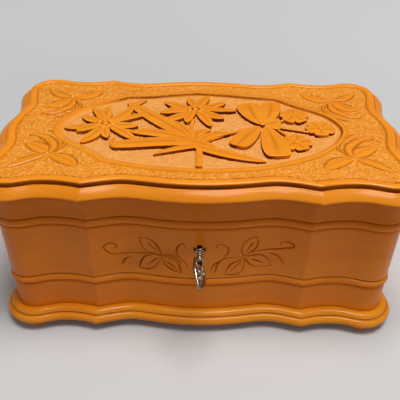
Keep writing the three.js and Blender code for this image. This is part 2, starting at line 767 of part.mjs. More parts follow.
// One leaf with its knuckles; the bore runs right through
function hingeLeaf(knuckles, z0) {
  const leafEdge = -knuckleRadius - fit;
  const half = hingeLength / 2;
  const sheet = block(-half, half, leafEdge - leafReach, leafEdge, z0, z0 + leafThickness);
  const pieces = [sheet];
  for (const [x0, x1] of knuckles) {
    pieces.push(block(x0, x1, leafEdge - 1, -hingePinRadius - fit / 2, z0, z0 + leafThickness));
    pieces.push(rodX(knuckleRadius, 0, 0, x0, x1));
  }
  return cut(join(...pieces), rodX(hingePinRadius + fit / 2, 0, 0, -half - 1, half + 1, 12));
}

function addHinges() {
  const half = hingeLength / 2;
  const outer = [[-half, -half + knuckleLength - fit / 2], [half - knuckleLength + fit / 2, half]];
  const middle = [[-half + knuckleLength + fit / 2, half - knuckleLength - fit / 2]];
  for (const [side, x] of [['left', -hingeX], ['right', hingeX]]) {
    const caseLeaf = hingeLeaf(outer, -lidGap / 2 - leafThickness);
    addPart(root, `hinge_case_leaf_${side}`, caseLeaf, 'brass').position.set(x, hingeY, hingeZ);
    const pin = rodX(hingePinRadius, 0, 0, -half, half, 12);
    addPart(root, `hinge_pin_${side}`, pin, 'steel').position.set(x, hingeY, hingeZ);
    const lidLeaf = hingeLeaf(middle, lidGap / 2);
    addPart(lid, `hinge_lid_leaf_${side}`, lidLeaf, 'brass').position.set(x, hingeY, hingeZ);
  }
}

// Lock and key

function addLock() {
  const y0 = -seamY - lockDepth;
  const half = lockWidth / 2;
  const roomHalf = lockRoomWidth / 2;
  const bottomZ = keyholeZ - lockBelow;
  addPart(root, 'lock_case', cut(
    block(-half, half, y0, -seamY, bottomZ, rimZ),
    block(-roomHalf, roomHalf, lockRoomY0, lockRoomY1, bottomZ + lockRim, rimZ - lockRim),
    block(hookX0 - fit * 2, hookX1 + fit * 2, lockRoomY0, lockRoomY1, rimZ - lockRim - 1, rimZ + 1),
    rodY(plugRadius + fit, 0, keyholeZ, y0 - 1, lockRoomY0 + 1, 24),
  ), 'steel');

  // The bolt moves evenly and the pin along a cosine, so the slot is wider by the most that they part
  const partAngle = Math.asin(boltTravel / (camRadius * camTurn));
  const parting = boltTravel * partAngle / camTurn - camRadius * (1 - Math.cos(partAngle));
  const boltY0 = lockRoomY0 + fit;
  const boltY1 = lockRoomY1 - fit;
  const slotHalf = camPinRadius + fit;
  addPart(root, 'lock_bolt', cut(
    block(-boltLeft, boltRight, boltY0, boltY1, keyholeZ - boltBelow, keyholeZ + boltAbove),
    block(-boltLeft - 1, nibLength - boltLeft, boltY0 - 1, boltY1 + 1, nibZ - hookRoomHeight, nibZ),
    block(camRadius - slotHalf, camRadius + slotHalf + parting, boltY0 - 1, boltY1 + 1,
      keyholeZ - slotHalf, keyholeZ + camRadius + slotHalf),
  ), 'brass');

  const noseY = y0 + fit - noseLength;
  const plugY = lockRoomY0 - fit;
  const keywayHalf = bitThickness / 2 + fit;
  const keyway = block(-keywayHalf, keywayHalf, noseY - 1, lockRoomY0 + 1, -bitReach - fit, 0);
  keyway.rotateY(-keyTurn).translate(0, 0, keyholeZ);
  const plug = join(
    rodY(plugRadius, 0, keyholeZ, y0 + fit, plugY, 24),
    rodY(noseRadius, 0, keyholeZ, noseY, plugY, 24),
    rodY(camPinRadius, camRadius, keyholeZ, y0 + fit * 2, boltY1, 12),
  );
  const bore = rodY(shankRadius + fit, 0, keyholeZ, noseY - 1, lockRoomY0 + 1, 16);
  addPart(root, 'lock_plug', cut(plug, bore, keyway), 'brass');

  keyFrame.position.set(0, -frontY, keyholeZ);
  keyFrame.rotation.y = -keyTurn;
  addPart(keyFrame, 'lock_key', keyGeometry(plugY + frontY), 'nickel');
}

// The key's axis is Y, from its tip inside the plug to the point of its bow, towards -Y
function keyGeometry(tipY) {
  const collarY = -collarStart;
  const bowY = collarY - collarLength;
  const waist = shankRadius;
  const profile = [[0, -tipY], [waist, -tipY], [waist, -collarY]];
  const rings = 3;
  const pitch = collarLength / rings;
  for (let i = 0; i < rings; i++) {
    const start = -collarY + i * pitch;
    profile.push([collarRadius, start + pitch * 0.2]);
    profile.push([collarRadius, start + pitch * 0.65]);
    profile.push([waist, start + pitch]);
  }
  profile.push([waist, -bowY + bowRim], [0, -bowY + bowRim]);
  const shank = turned(profile, 14).rotateX(Math.PI / 2);
  const bit = block(-bitThickness / 2, bitThickness / 2, tipY - bitReach, tipY, -bitReach, 0);
  return join(shank, bit, bowGeometry(bowY));
}

// Openwork bow: a pointed oval rim with two scrolled windows each side of a middle bar
function bowGeometry(bowY) {
  const halfHeight = bowHeight / 2;
  const waist = shankRadius + bowRim / 2;
  const outline = new THREE.Shape();
  const shoulder = bowLength * 0.42;
  outline.moveTo(0, -waist);
  outline.bezierCurveTo(bowLength * 0.08, -halfHeight * 1.05, shoulder, -halfHeight * 1.15,
    bowLength * 0.66, -halfHeight * 0.62);
  outline.quadraticCurveTo(bowLength * 0.86, -halfHeight * 0.42, bowLength, 0);
  outline.quadraticCurveTo(bowLength * 0.86, halfHeight * 0.42, bowLength * 0.66, halfHeight * 0.62);
  outline.bezierCurveTo(shoulder, halfHeight * 1.15, bowLength * 0.08, halfHeight * 1.05, 0, waist);
  for (const side of [-1, 1]) {
    const near = new THREE.Path();
    near.absellipse(bowLength * 0.29, side * halfHeight * 0.4, bowLength * 0.13, halfHeight * 0.22,
      0, 2 * Math.PI, false, 0);
    outline.holes.push(near);
  }
  const far = new THREE.Path();
  far.absellipse(bowLength * 0.63, 0, bowLength * 0.14, halfHeight * 0.26, 0, 2 * Math.PI, false, 0);
  outline.holes.push(far);
  const bevel = bowThickness * 0.25;
  const bow = new THREE.ExtrudeGeometry(outline, {
    depth: bowThickness - 2 * bevel,
    curveSegments: 4,
    bevelSize: bevel,
    bevelThickness: bevel,
    bevelOffset: -bevel,
    bevelSegments: 1,
  });
  bow.translate(0, 0, bevel - bowThickness / 2).rotateY(Math.PI / 2);
  return bow.rotateX(-Math.PI / 2).translate(0, bowY, 0);
}

// Gears

// Straight-flanked outline, with a tooth centred on the start angle
function gearOutline(teeth, module, startAngle) {
  const pitchRadius = teeth * module / 2;
  const tip = pitchRadius + toothTip * module;
  const base = pitchRadius - toothRoot * module;
  const baseHalf = rootHalfWidth * module / base;
  const tipHalf = tipHalfWidth * module / tip;
  const corners = [[base, -baseHalf], [tip, -tipHalf], [tip, tipHalf], [base, baseHalf]];
  const points = [];
  for (let i = 0; i < teeth; i++) {
    const middle = startAngle + 2 * Math.PI * i / teeth;
    for (const [radius, angle] of corners) {
      points.push(new THREE.Vector2(radius * Math.cos(middle + angle), radius * Math.sin(middle + angle)));
    }
  }
  return new THREE.Shape(points);
}

// A gear that faces along Y; the angle is counted from +X towards +Z
function gearY(teeth, module, startAngle, y0, y1, x, z) {
  const gear = plate(gearOutline(teeth, module, startAngle), 0, y1 - y0);
  return gear.rotateX(Math.PI / 2).translate(x, y1, z);
}

// Movement

function addBed() {
  const shape = new THREE.Shape();
  shape.moveTo(-bedLeft + bedCorner, -bedFront);
  shape.lineTo(bedRight - bedCorner, -bedFront);
  shape.absarc(bedRight - bedCorner, -bedFront + bedCorner, bedCorner, -Math.PI / 2, 0, false);
  shape.absarc(bedRight - bedCorner, bedBack - bedCorner, bedCorner, 0, Math.PI / 2, false);
  shape.absarc(-bedLeft + bedCorner, bedBack - bedCorner, bedCorner, Math.PI / 2, Math.PI, false);
  shape.absarc(-bedLeft + bedCorner, -bedFront + bedCorner, bedCorner, Math.PI, 1.5 * Math.PI, false);
  const options = { depth: bedThickness, bevelEnabled: false, curveSegments: 4 };
  const bed = new THREE.ExtrudeGeometry(shape, options);
  bed.translate(0, 0, -bedThickness);
  const hole = rodZ(windingRadius + fit, 0, 0, -bedThickness - 1, 1);
  addPart(movement, 'bedplate', cut(bed, hole), 'castIron');
}

function addBarrel() {
  const top = barrelLift + barrelHeight;
  const outer = crownRadius + crownFace / 2;
  const drum = turned([[0, barrelLift], [outer - 1, barrelLift], [outer - 1, top - 2], [outer, top - 1.4],
    [outer, top], [0, top]], 32);
  const teeth = [];
  const tipZ = crownZ + 0.65 * crownModule;
  for (let i = 0; i < crownTeeth; i++) {
    const tooth = new THREE.Shape();
    tooth.moveTo(-rootHalfWidth * crownModule, top - 0.5);
    tooth.lineTo(rootHalfWidth * crownModule, top - 0.5);
    tooth.lineTo(tipHalfWidth * crownModule, tipZ);
    tooth.lineTo(-tipHalfWidth * crownModule, tipZ);
    const solid = plate(tooth, -crownFace / 2, crownFace / 2).rotateX(Math.PI / 2);
    solid.translate(0, crownRadius, 0).rotateZ(2 * Math.PI * (i + 0.5) / crownTeeth);
    teeth.push(solid);
  }
  const bore = rodZ(windingRadius + fit, 0, 0, barrelLift - 1, top + 1);
  addPart(movement, 'spring_barrel', cut(join(drum, ...teeth), bore), 'brass');

  const bridgeZ = tipZ + fit;
  const bridgeX = outer + 1;
  const bridgeEnd = bridgeX + bridgeLeg;
  const bridgeTop = bridgeZ + bridgeThickness;
  const halfWidth = bridgeWidth / 2;
  const bridge = join(
    block(-bridgeEnd, bridgeEnd, -halfWidth, halfWidth, bridgeZ, bridgeTop),
    block(-bridgeEnd, -bridgeX, -halfWidth, halfWidth, 0, bridgeTop),
    block(bridgeX, bridgeEnd, -halfWidth, halfWidth, 0, bridgeTop),
  );
  const hole = rodZ(windingRadius + fit, 0, 0, bridgeZ - 1, bridgeTop + 1);
  addPart(movement, 'barrel_bridge', cut(bridge, hole), 'brass');

  const keyTopZ = boardZ - bedZ - 1;
  const keyFootZ = keyTopZ - keyHubHeight;
  const arbor = rodZ(windingRadius, 0, 0, keyTopZ + fit, bridgeTop + fit);
  addPart(movement, 'winding_arbor', arbor, 'steel');
  addPart(movement, 'winding_key', windingKey(keyFootZ, keyTopZ), 'steel');
}

// Butterfly key: a hub with two rounded wings
function windingKey(z0, z1) {
  const wing = new THREE.Shape();
  const half = keyWingSpan / 2;
  const round = keyWingHeight / 2;
  wing.moveTo(-half + round, z0);
  wing.lineTo(half - round, z0);
  wing.absarc(half - round, z0 + round, round, -Math.PI / 2, Math.PI / 2, false);
  wing.lineTo(-half + round, z0 + keyWingHeight);
  wing.absarc(-half + round, z0 + round, round, Math.PI / 2, 1.5 * Math.PI, false);
  const options = { depth: keyWingThickness, bevelEnabled: false, curveSegments: 8 };
  const wings = new THREE.ExtrudeGeometry(wing, options);
  wings.rotateX(Math.PI / 2).translate(0, keyWingThickness / 2, 0);
  return join(wings, rodZ(keyHubRadius, 0, 0, z0 + 1, z1, 16));
}

function addCylinder() {
  const bracketY = drumStart - fit - bracketThickness;
  const pinion = gearY(pinionTeeth, crownModule, -Math.PI / 2, crownRadius - crownFace / 2,
    crownRadius + crownFace / 2, 0, drumZ);
  const arborStart = crownRadius - crownFace / 2;
  const arbor = rodY(arborRadius, 0, drumZ, arborStart, rearBracketY + bracketThickness, 14);
  addPart(movement, 'cylinder_arbor', join(arbor, pinion), 'steel');

  const drum = rodY(drumRadius, 0, 0, drumStart, drumEnd, 32);
  const pins = [];
  const pitch = drumLength / (noteCount + 2);
  const beats = 2 * noteCount + 2;
  for (let note = 0; note < noteCount; note++) {
    for (let k = 0; k < pinsPerNote; k++) {
      const beat = (note * 7 + k * 13 + (note * k) % 5) % beats;
      const pin = block(drumRadius - 0.5, drumRadius + pinHeight, -pinWidth / 2, pinWidth / 2,
        -pinWidth / 2, pinWidth / 2);
      pin.rotateY(2 * Math.PI * beat / beats).translate(0, drumStart + pitch * (note + 1.5), 0);
      pins.push(pin);
    }
  }
  const bore = rodY(arborRadius + fit, 0, 0, drumStart - 1, drumEnd + 1, 16);
  addPart(movement, 'pinned_cylinder', cut(join(drum, ...pins), bore).translate(0, 0, drumZ), 'brass');

  const wheel = gearY(wheelTeeth, trainModule, Math.PI, wheelY, wheelY + wheelFace, 0, drumZ);
  const wheelBore = rodY(arborRadius + fit, 0, drumZ, wheelY - 1, wheelY + wheelFace + 1, 16);
  addPart(movement, 'cylinder_wheel', cut(wheel, wheelBore), 'brass');

  const half = bracketWidth / 2;
  for (const [end, y] of [['front', bracketY], ['back', rearBracketY]]) {
    const upright = block(-half, half, y, y + bracketThickness, 0, drumZ + bracketHead);
    const hole = rodY(arborRadius + fit, 0, drumZ, y - 1, y + bracketThickness + 1, 14);
    addPart(movement, `cylinder_bracket_${end}`, cut(upright, hole), 'brass');
  }
}

function addComb() {
  const tipX = drumRadius + pinHeight + combGap;
  const heelX = tipX + combLongest;
  const pitch = drumLength / (noteCount + 2);
  const y0 = drumStart + pitch;
  const shape = new THREE.Shape();
  shape.moveTo(heelX + combHeel, y0);
  shape.lineTo(heelX + combHeel, y0 + noteCount * pitch);
  for (let note = noteCount - 1; note >= 0; note--) {
    const share = note / (noteCount - 1);
    const rootX = tipX + combLongest + (combShortest - combLongest) * share;
    const far = y0 + (note + 1) * pitch - toothGap / 2;
    const near = y0 + note * pitch + toothGap / 2;
    const taper = pitch * toothTaper;
    shape.lineTo(rootX, far);
    shape.lineTo(tipX, far - taper);
    shape.lineTo(tipX, near + taper);
    shape.lineTo(rootX, near);
  }
  const combZ = drumZ - combThickness / 2;
  addPart(movement, 'comb', plate(shape, combZ, combZ + combThickness), 'steel');
  const bed = block(heelX, heelX + combHeel, y0, y0 + noteCount * pitch, 0, combZ);
  addPart(movement, 'comb_bed', bed, 'castIron');
  const screwX = heelX + combHeel / 2;
  const screwZ = combZ + combThickness;
  for (const [i, share] of [0.12, 0.5, 0.88].entries()) {
    const head = rodZ(screwHeadRadius, 0, 0, screwZ, screwZ + screwHeadHeight, 16);
    addPart(movement, `comb_screw_${i + 1}`, head, 'steel')
      .position.set(screwX, y0 + share * noteCount * pitch, 0);
  }
}

function addGovernor() {
  const frontPlateY = wheelY - fit - bracketThickness;
  const backPlateY = wormY + wheelFace / 2 + frameBehind;
  const tipSpace = (wormTeeth / 2 + 1) * trainModule;
  const armZ = drumZ + tipSpace - bracketThickness;
  const armX0 = wormX - wormReach;
  const armX1 = wormX + wormReach;
  const plateX0 = governorX - frameLeft;
  const plateX1 = governorX + frameRight;
  addPart(movement, 'governor_frame', cut(
    join(
      block(plateX0, plateX1, frontPlateY, backPlateY + bracketThickness, 0, bracketThickness),
      block(plateX0, plateX1, frontPlateY, frontPlateY + bracketThickness, 0, drumZ + bracketHead),
      block(plateX0, armX1, backPlateY, backPlateY + bracketThickness, 0, armZ + bracketThickness),
      block(plateX1 - 1, armX1, wormY - wormReach, backPlateY + bracketThickness, 0, bracketThickness),
      block(armX0, armX1, wormY - wormReach, backPlateY + 1, armZ, armZ + bracketThickness),
    ),
    rodY(spindleRadius + fit, governorX, drumZ, frontPlateY - 1, backPlateY + bracketThickness + 1, 12),
    rodZ(spindleRadius + fit, wormX, wormY, armZ - 1, armZ + bracketThickness + 1, 12),
  ), 'brass');

  const spindle = rodY(spindleRadius, governorX, drumZ, frontPlateY, backPlateY + bracketThickness, 12);
  const pinion = gearY(governorTeeth, trainModule, Math.PI / governorTeeth, wheelY, wheelY + wheelFace,
    governorX, drumZ);
  const wormWheel = gearY(wormTeeth, trainModule, 0, wormY - wheelFace / 3, wormY + wheelFace / 3,
    governorX, drumZ);
  addPart(movement, 'governor_wheel', join(spindle, pinion, wormWheel), 'brass');

  const shaftFoot = bracketThickness + fit;
  const shaft = rodZ(spindleRadius, 0, 0, shaftFoot, flyZ + flyHeight, 12);
  addPart(movement, 'endless_screw', join(shaft, wormThread()), 'steel').position.set(wormX, wormY, 0);

  const bladeHalf = 0.3;
  const bore = rodZ(spindleRadius + fit, 0, 0, flyZ - 1, flyZ + flyHeight + 1, 12);
  const fly = join(
    rodZ(spindleRadius + fit + 0.7, 0, 0, flyZ, flyZ + flyHeight, 14),
    block(-flyRadius, -arborRadius - fit / 2, -bladeHalf, bladeHalf, flyZ, flyZ + flyHeight),
    block(arborRadius + fit / 2, flyRadius, -bladeHalf, bladeHalf, flyZ, flyZ + flyHeight),
  );
  addPart(movement, 'air_brake_fly', cut(fly, bore), 'brass').position.set(wormX, wormY, 0);
}

// Right-handed thread, wound on its core, with a gap towards the wheel at the height of its axis
function wormThread() {
  const core = wormRadius - threadRoot * trainModule;
  const crest = wormRadius + threadCrest * trainModule;
  const rootHalf = threadRootHalf * trainModule;
  const crestHalf = threadCrestHalf * trainModule;
  const stepsPerTurn = 12;
  const steps = wormTurns * stepsPerTurn;
  const inner = core - 0.2;
  const section = [[inner, -rootHalf], [crest, -crestHalf], [crest, crestHalf], [inner, rootHalf]];
  const positions = [];
  const index = [];
  for (let i = 0; i <= steps; i++) {
    const turn = i / stepsPerTurn - wormTurns / 2;
    const angle = 2 * Math.PI * turn;
    for (const [radius, rise] of section) {
      positions.push(radius * Math.cos(angle), radius * Math.sin(angle), drumZ + wormLead * turn + rise);
    }
  }
  for (let i = 0; i < steps; i++) {
    for (let k = 0; k < 4; k++) {
      const a = i * 4 + k;
      const b = i * 4 + (k + 1) % 4;
      index.push(a, a + 4, b + 4, a, b + 4, b);
    }
  }
  const last = steps * 4;
  index.push(0, 1, 2, 0, 2, 3);
  index.push(last, last + 2, last + 1, last, last + 3, last + 2);
  const thread = new THREE.BufferGeometry();
  thread.setAttribute('position', new THREE.Float32BufferAttribute(positions, 3));
  thread.setIndex(index);
  const half = wormLead * wormTurns / 2 + rootHalf;
  return join(rodZ(core, 0, 0, drumZ - half, drumZ + half, 14), thread);
}

// Bent wire: down behind the pane, forwards under it, and down onto the fly
function addStopRod() {
  const topOfFly = bedZ + flyZ + flyHeight;
  const footZ = topOfFly + fit;
  const armZ = footZ + stopFoot;
  const rodY1 = seamY - stopInset;
  const rodX0 = movementX + wormX;
  const flyY = movementY + wormY;
  const path = new THREE.CurvePath();
  const at = (y, z) => new THREE.Vector3(rodX0, y, z);
  const upper = [at(rodY1, armZ + stopBend), at(rodY1, armZ), at(rodY1 - stopBend, armZ)];
  const lower = [at(flyY + stopBend, armZ), at(flyY, armZ), at(flyY, armZ - stopBend)];
  path.add(new THREE.LineCurve3(at(rodY1, railZ - fit), upper[0]));
  path.add(new THREE.QuadraticBezierCurve3(...upper));
  path.add(new THREE.LineCurve3(upper[2], lower[0]));
  path.add(new THREE.QuadraticBezierCurve3(...lower));
  path.add(new THREE.LineCurve3(lower[2], at(flyY, footZ)));
  const section = new THREE.Shape();
  section.absarc(0, 0, stopRadius, 0, 2 * Math.PI, false);
  const wire = new THREE.ExtrudeGeometry(section, { steps: 16, extrudePath: path, curveSegments: 3 });
  addPart(root, 'stop_rod', wire, 'steel');
}

addBase();
addWalls();
addFloor();
addDividerAndPane();
addLining();
addLid();
addMirror();
addHinges();
addLock();
addBed();
addBarrel();
addCylinder();
addComb();
addGovernor();
addStopRod();

// The origin is on the floor, under the middle of the whole box of lid and key
movement.position.set(movementX, movementY, bedZ);
root.add(lid, movement, keyFrame);
const lidBack = frontY + lobeRise + lidGrow;
const keyFront = frontY + keyReach;
root.position.y = (keyFront - lidBack) / 2;

const musicBox = new THREE.Group();
musicBox.add(root);

export default musicBox;
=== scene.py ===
import json
import math

import bmesh
import bpy
import numpy as np
from mathutils import Matrix, Vector


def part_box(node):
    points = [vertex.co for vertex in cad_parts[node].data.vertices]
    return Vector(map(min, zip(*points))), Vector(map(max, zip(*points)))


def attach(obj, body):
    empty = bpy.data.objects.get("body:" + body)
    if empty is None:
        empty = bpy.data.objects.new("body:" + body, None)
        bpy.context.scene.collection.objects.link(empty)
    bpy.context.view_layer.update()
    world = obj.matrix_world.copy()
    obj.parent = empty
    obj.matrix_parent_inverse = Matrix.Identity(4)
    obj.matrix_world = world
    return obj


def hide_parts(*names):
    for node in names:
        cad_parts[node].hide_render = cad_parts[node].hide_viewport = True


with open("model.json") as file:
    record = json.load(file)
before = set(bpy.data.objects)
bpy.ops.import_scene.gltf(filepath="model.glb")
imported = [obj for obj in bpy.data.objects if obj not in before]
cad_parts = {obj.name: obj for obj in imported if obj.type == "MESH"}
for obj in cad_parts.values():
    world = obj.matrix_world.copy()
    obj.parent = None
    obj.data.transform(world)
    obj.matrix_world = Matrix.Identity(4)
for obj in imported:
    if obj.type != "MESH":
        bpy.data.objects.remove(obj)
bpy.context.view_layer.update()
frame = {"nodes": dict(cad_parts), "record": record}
topLow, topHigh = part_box("lid_top")
middleY = (topLow.y + topHigh.y) / 2      # pieces are laid out in millimetres from the case's own middle
scene = bpy.context.scene
print("frame loaded,", len(frame["nodes"]), "nodes")


def placed(x, y, z):
    return Vector((x / 1000, y / 1000 + middleY, z / 1000))


def colour(red, green, blue):
    # picture values to linear light
    parts = [part / 255 for part in (red, green, blue)]
    return [part / 12.92 if part < 0.04 else ((part + 0.055) / 1.055) ** 2.4 for part in parts] + [1]


# Shaders

class Strand:
    # one shader socket, so that shader sums read as sums
    def __init__(self, tree, socket):
        self.tree, self.socket = tree, socket

    def math(self, operation, other, turned=False, clamp=False):
        node = self.tree.nodes.new("ShaderNodeMath")
        node.operation, node.use_clamp = operation, clamp
        pair = [other, self] if turned else [self, other]
        for place, value in enumerate(pair):
            if isinstance(value, Strand):
                self.tree.links.new(value.socket, node.inputs[place])
            else:
                node.inputs[place].default_value = value
        return Strand(self.tree, node.outputs[0])

    def __add__(self, other):
        return self.math("ADD", other)

    __radd__ = __add__

    def __sub__(self, other):
        return self.math("SUBTRACT", other)

    def __rsub__(self, other):
        return self.math("SUBTRACT", other, turned=True)

    def __mul__(self, other):
        return self.math("MULTIPLY", other)

    def clamped(self):
        return self.math("ADD", 0.0, clamp=True)


class Finish:
    # a material with one Principled shader, and one way to add any other node
    def __init__(self, name):
        self.material = bpy.data.materials.new(name)
        self.material.use_nodes = True
        self.tree = self.material.node_tree
        self.tree.nodes.clear()
        self.shader = self.tree.nodes.new("ShaderNodeBsdfPrincipled")
        out = self.tree.nodes.new("ShaderNodeOutputMaterial")
        self.tree.links.new(self.shader.outputs[0], out.inputs[0])

    def fill(self, node, sockets):
        for key, value in sockets.items():
            if isinstance(value, Strand):
                self.tree.links.new(value.socket, node.inputs[key])
            else:
                node.inputs[key].default_value = value

    def node(self, kind, settings, sockets, output=0):
        made = self.tree.nodes.new(kind)
        for key, value in settings.items():
            setattr(made, key, value)
        self.fill(made, sockets)
        return Strand(self.tree, made.outputs[output])

    def coordinates(self, stretch=(1, 1, 1)):
        spot = self.node("ShaderNodeTexCoord", {}, {}, "Object")
        return self.node("ShaderNodeMapping", {}, {"Vector": spot, "Scale": stretch})

    def noise(self, scale, detail=3.0, roughness=0.5, distortion=0.0, stretch=(1, 1, 1)):
        return self.node("ShaderNodeTexNoise", {}, {"Vector": self.coordinates(stretch), "Scale": scale,
                                                    "Detail": detail, "Roughness": roughness,
                                                    "Distortion": distortion})

    def cells(self, scale, randomness):
        return self.node("ShaderNodeTexVoronoi", {"feature": "F1"},
                         {"Vector": self.coordinates(), "Scale": scale, "Randomness": randomness})

    def attribute(self, name):
        return self.node("ShaderNodeAttribute", {"attribute_name": name}, {}, "Fac")

    def mix(self, amount, first, second):
        return self.node("ShaderNodeMix", {"data_type": "RGBA"}, {0: amount, 6: first, 7: second}, 2)

    def bump(self, height, distance, strength=1.0):
        return self.node("ShaderNodeBump", {}, {"Height": height, "Distance": distance, "Strength": strength})

    def done(self, **sockets):
        named = {key.replace("_", " "): value for key, value in sockets.items()}
        self.fill(self.shader, named)
        return self.material


# the side colours are painted darker and redder as shaded, and the top colours paler and yellower as lit: lit and
# shaded copies of one wood
wood = {
    "side": (colour(247, 148, 26), colour(227, 113, 6)), "top": (colour(248, 162, 36), colour(230, 126, 8)),
    "streak": colour(190, 88, 4), "stainAndShade": colour(104, 34, 2), "speck": colour(255, 200, 112),
    "bare": colour(238, 164, 88), "roughness": 0.42, "coat": 0.34, "coatRoughness": 0.12, "specular": 0.1,
    "figureStretch": [(5, 70, 70), (70, 5, 70)], "poreStretch": [(30, 900, 900), (900, 30, 900)],
    "markNoise": 90.0, "dimples": 620.0, "beaten": 420.0, "reliefDepth": 0.0004,
}


def honeyWood(name, along, tint):
    # along: 0 for grain that runs lengthwise, 1 for grain that runs front to back
    # tint: side gives the colours painted as shaded, top the colours painted as lit
    pale, deep = wood[tint]
    f = Finish(name)
    figure = f.noise(1.0, 5.0, 0.62, 0.6, wood["figureStretch"][along])
    pores = f.noise(1.0, 2.0, 0.6, stretch=wood["poreStretch"][along])
    clouds = f.noise(14.0, 3.0, 0.55)
    recess, punched, bare = (f.attribute(mark) for mark in ("recess", "punched", "bare"))
    tone = ((figure - 0.3) * 1.7 * 0.6 + clouds * 0.5).clamped()
    body = f.mix(tone, deep, pale)
    body = f.mix(((pores - 0.56) * 3.0).clamped() * 0.28, body, wood["streak"])
    body = f.mix(bare * 0.75, body, wood["bare"])
    markNoise = f.noise(wood["markNoise"], 4.0, 0.6)
    dimples = f.cells(wood["dimples"], 0.9)
    beaten = f.noise(wood["beaten"], 3.0, 0.7)
    speckle = ((dimples * 1.5 - 0.5) * 0.9 + (beaten - 0.5) * 2.6).clamped() * punched
    body = f.mix(speckle * 0.5, body, wood["speck"])
    hollow = (punched * (1.0 - (dimples * 2.0).clamped())) * 0.2
    # the recess mark darkens the wood towards the stain colour: stain, and painted shade in grooves, joints and
    # undercuts
    body = f.mix((hollow + recess * (0.72 + markNoise * 0.42)).clamped(), body, wood["stainAndShade"])
    surface = pores * 0.10 + figure * 0.12 + (dimples * 1.3 + beaten * 0.9) * punched * 1.5
    rough = wood["roughness"] + (pores - 0.5) * 0.18 + punched * 0.08 + recess * 0.3
    coat = ((1.0 - recess * 2.6).clamped() * wood["coat"] - punched * 0.08).clamped()
    return f.done(Base_Color=body, Roughness=rough, Coat_Weight=coat, Coat_Roughness=wood["coatRoughness"],
                  Specular_IOR_Level=wood["specular"], Normal=f.bump(surface, wood["reliefDepth"]))


def paleWood():
    f = Finish("bareSpruce")
    figure = f.noise(1.0, 4.0, 0.6, 0.3, (4, 120, 120))
    body = f.mix(((figure - 0.35) * 2.2).clamped(), colour(222, 186, 128), colour(196, 150, 92))
    return f.done(Base_Color=body, Roughness=0.62, Normal=f.bump(figure, 0.0002))


def velvet(name, pile, shade):
    f = Finish(name)
    nap = f.noise(2400.0, 2.0, 0.7)
    brushed = f.noise(26.0, 3.0, 0.6, 0.8, (1, 1.6, 1))
    # the recess mark paints the pile darker in pleats, corners and creases: painted shade
    foldShade = f.attribute("recess")
    body = f.mix((nap * 0.5 + brushed * 0.7 - 0.15 - foldShade * 0.6).clamped(), shade, pile)
    return f.done(Base_Color=body, Roughness=0.95, Sheen_Weight=0.8, Sheen_Roughness=0.35,
                  Sheen_Tint=colour(240, 150, 160), Normal=f.bump(nap * 0.6 + brushed * 0.3, 0.0005))


def metal(name, light, dark, roughness, brush, tarnish=0.35):
    f = Finish(name)
    strokes = f.noise(brush, 3.0, 0.65)
    patches = f.noise(160.0, 4.0, 0.6)
    recess = f.attribute("recess")
    body = f.mix((patches * tarnish + recess * 0.85).clamped(), light, dark)
    rough = roughness + (strokes - 0.5) * 0.22 + recess * 0.25
    return f.done(Base_Color=body, Metallic=1.0, Roughness=rough, Normal=f.bump(strokes, 0.00002, 0.5))


def castIron():
    f = Finish("nickelledIron")
    grit = f.noise(1500.0, 4.0, 0.7)
    patches = f.noise(70.0, 3.0, 0.6)
    body = f.mix(patches, colour(150, 152, 156), colour(112, 114, 120))
    return f.done(Base_Color=body, Metallic=0.9, Roughness=(0.42 + grit * 0.2), Normal=f.bump(grit, 0.00012))


def mirrorGlass():
    f = Finish("silveredMirror")
    haze = f.noise(30.0, 3.0, 0.6)
    body = f.mix(haze * 0.3, colour(232, 236, 238), colour(206, 214, 218))
    return f.done(Base_Color=body, Metallic=1.0, Roughness=(0.02 + haze * 0.03))


def clearPane():
    f = Finish("clearCover")
    haze = f.noise(40.0, 3.0, 0.6)
    return f.done(Base_Color=colour(196, 206, 208), Roughness=(0.03 + haze * 0.05), IOR=1.49,
                  Alpha=(0.05 + haze * 0.03))


lengthwise = honeyWood("honeyWood", 0, "side")
crosswise = honeyWood("honeyWoodCross", 1, "side")
# the wood painted paler as lit, for the lid's top, its carving and the base
paintedLitWood = honeyWood("honeyWoodPaintedLit", 0, "top")
spruce = paleWood()
redVelvet = velvet("redVelvet", colour(150, 22, 40), colour(92, 8, 20))
brass = metal("brass", colour(214, 172, 88), colour(150, 106, 44), 0.3, 900.0, 0.2)
steel = metal("polishedSteel", colour(176, 178, 184), colour(112, 116, 124), 0.36, 1100.0)
nickel = metal("oldNickel", colour(206, 190, 172), colour(60, 44, 34), 0.27, 800.0, 0.7)
iron = castIron()
mirror = mirrorGlass()
pane = clearPane()
finishOf = {"honey_wood": lengthwise, "pale_wood": spruce, "velvet": redVelvet, "brass": brass, "steel": steel,
            "cast_iron": iron, "old_nickel": nickel, "mirror_glass": mirror, "clear_pane": pane}
slotOfFinish = {finish.name: slot for slot, finish in finishOf.items()}
slotOfFinish.update({finish.name: "honey_wood" for finish in (crosswise, paintedLitWood)})
print("finishes made")


# Meshes

joinedWithin = 2e-6      # metres between points that are one point
creases = {"wood": 38, "fittings": 40, "key": 45, "carving": 50, "cloth": 60}


def linked(name, data):
    made = bpy.data.objects.new(name, data)
    scene.collection.objects.link(made)
    return made


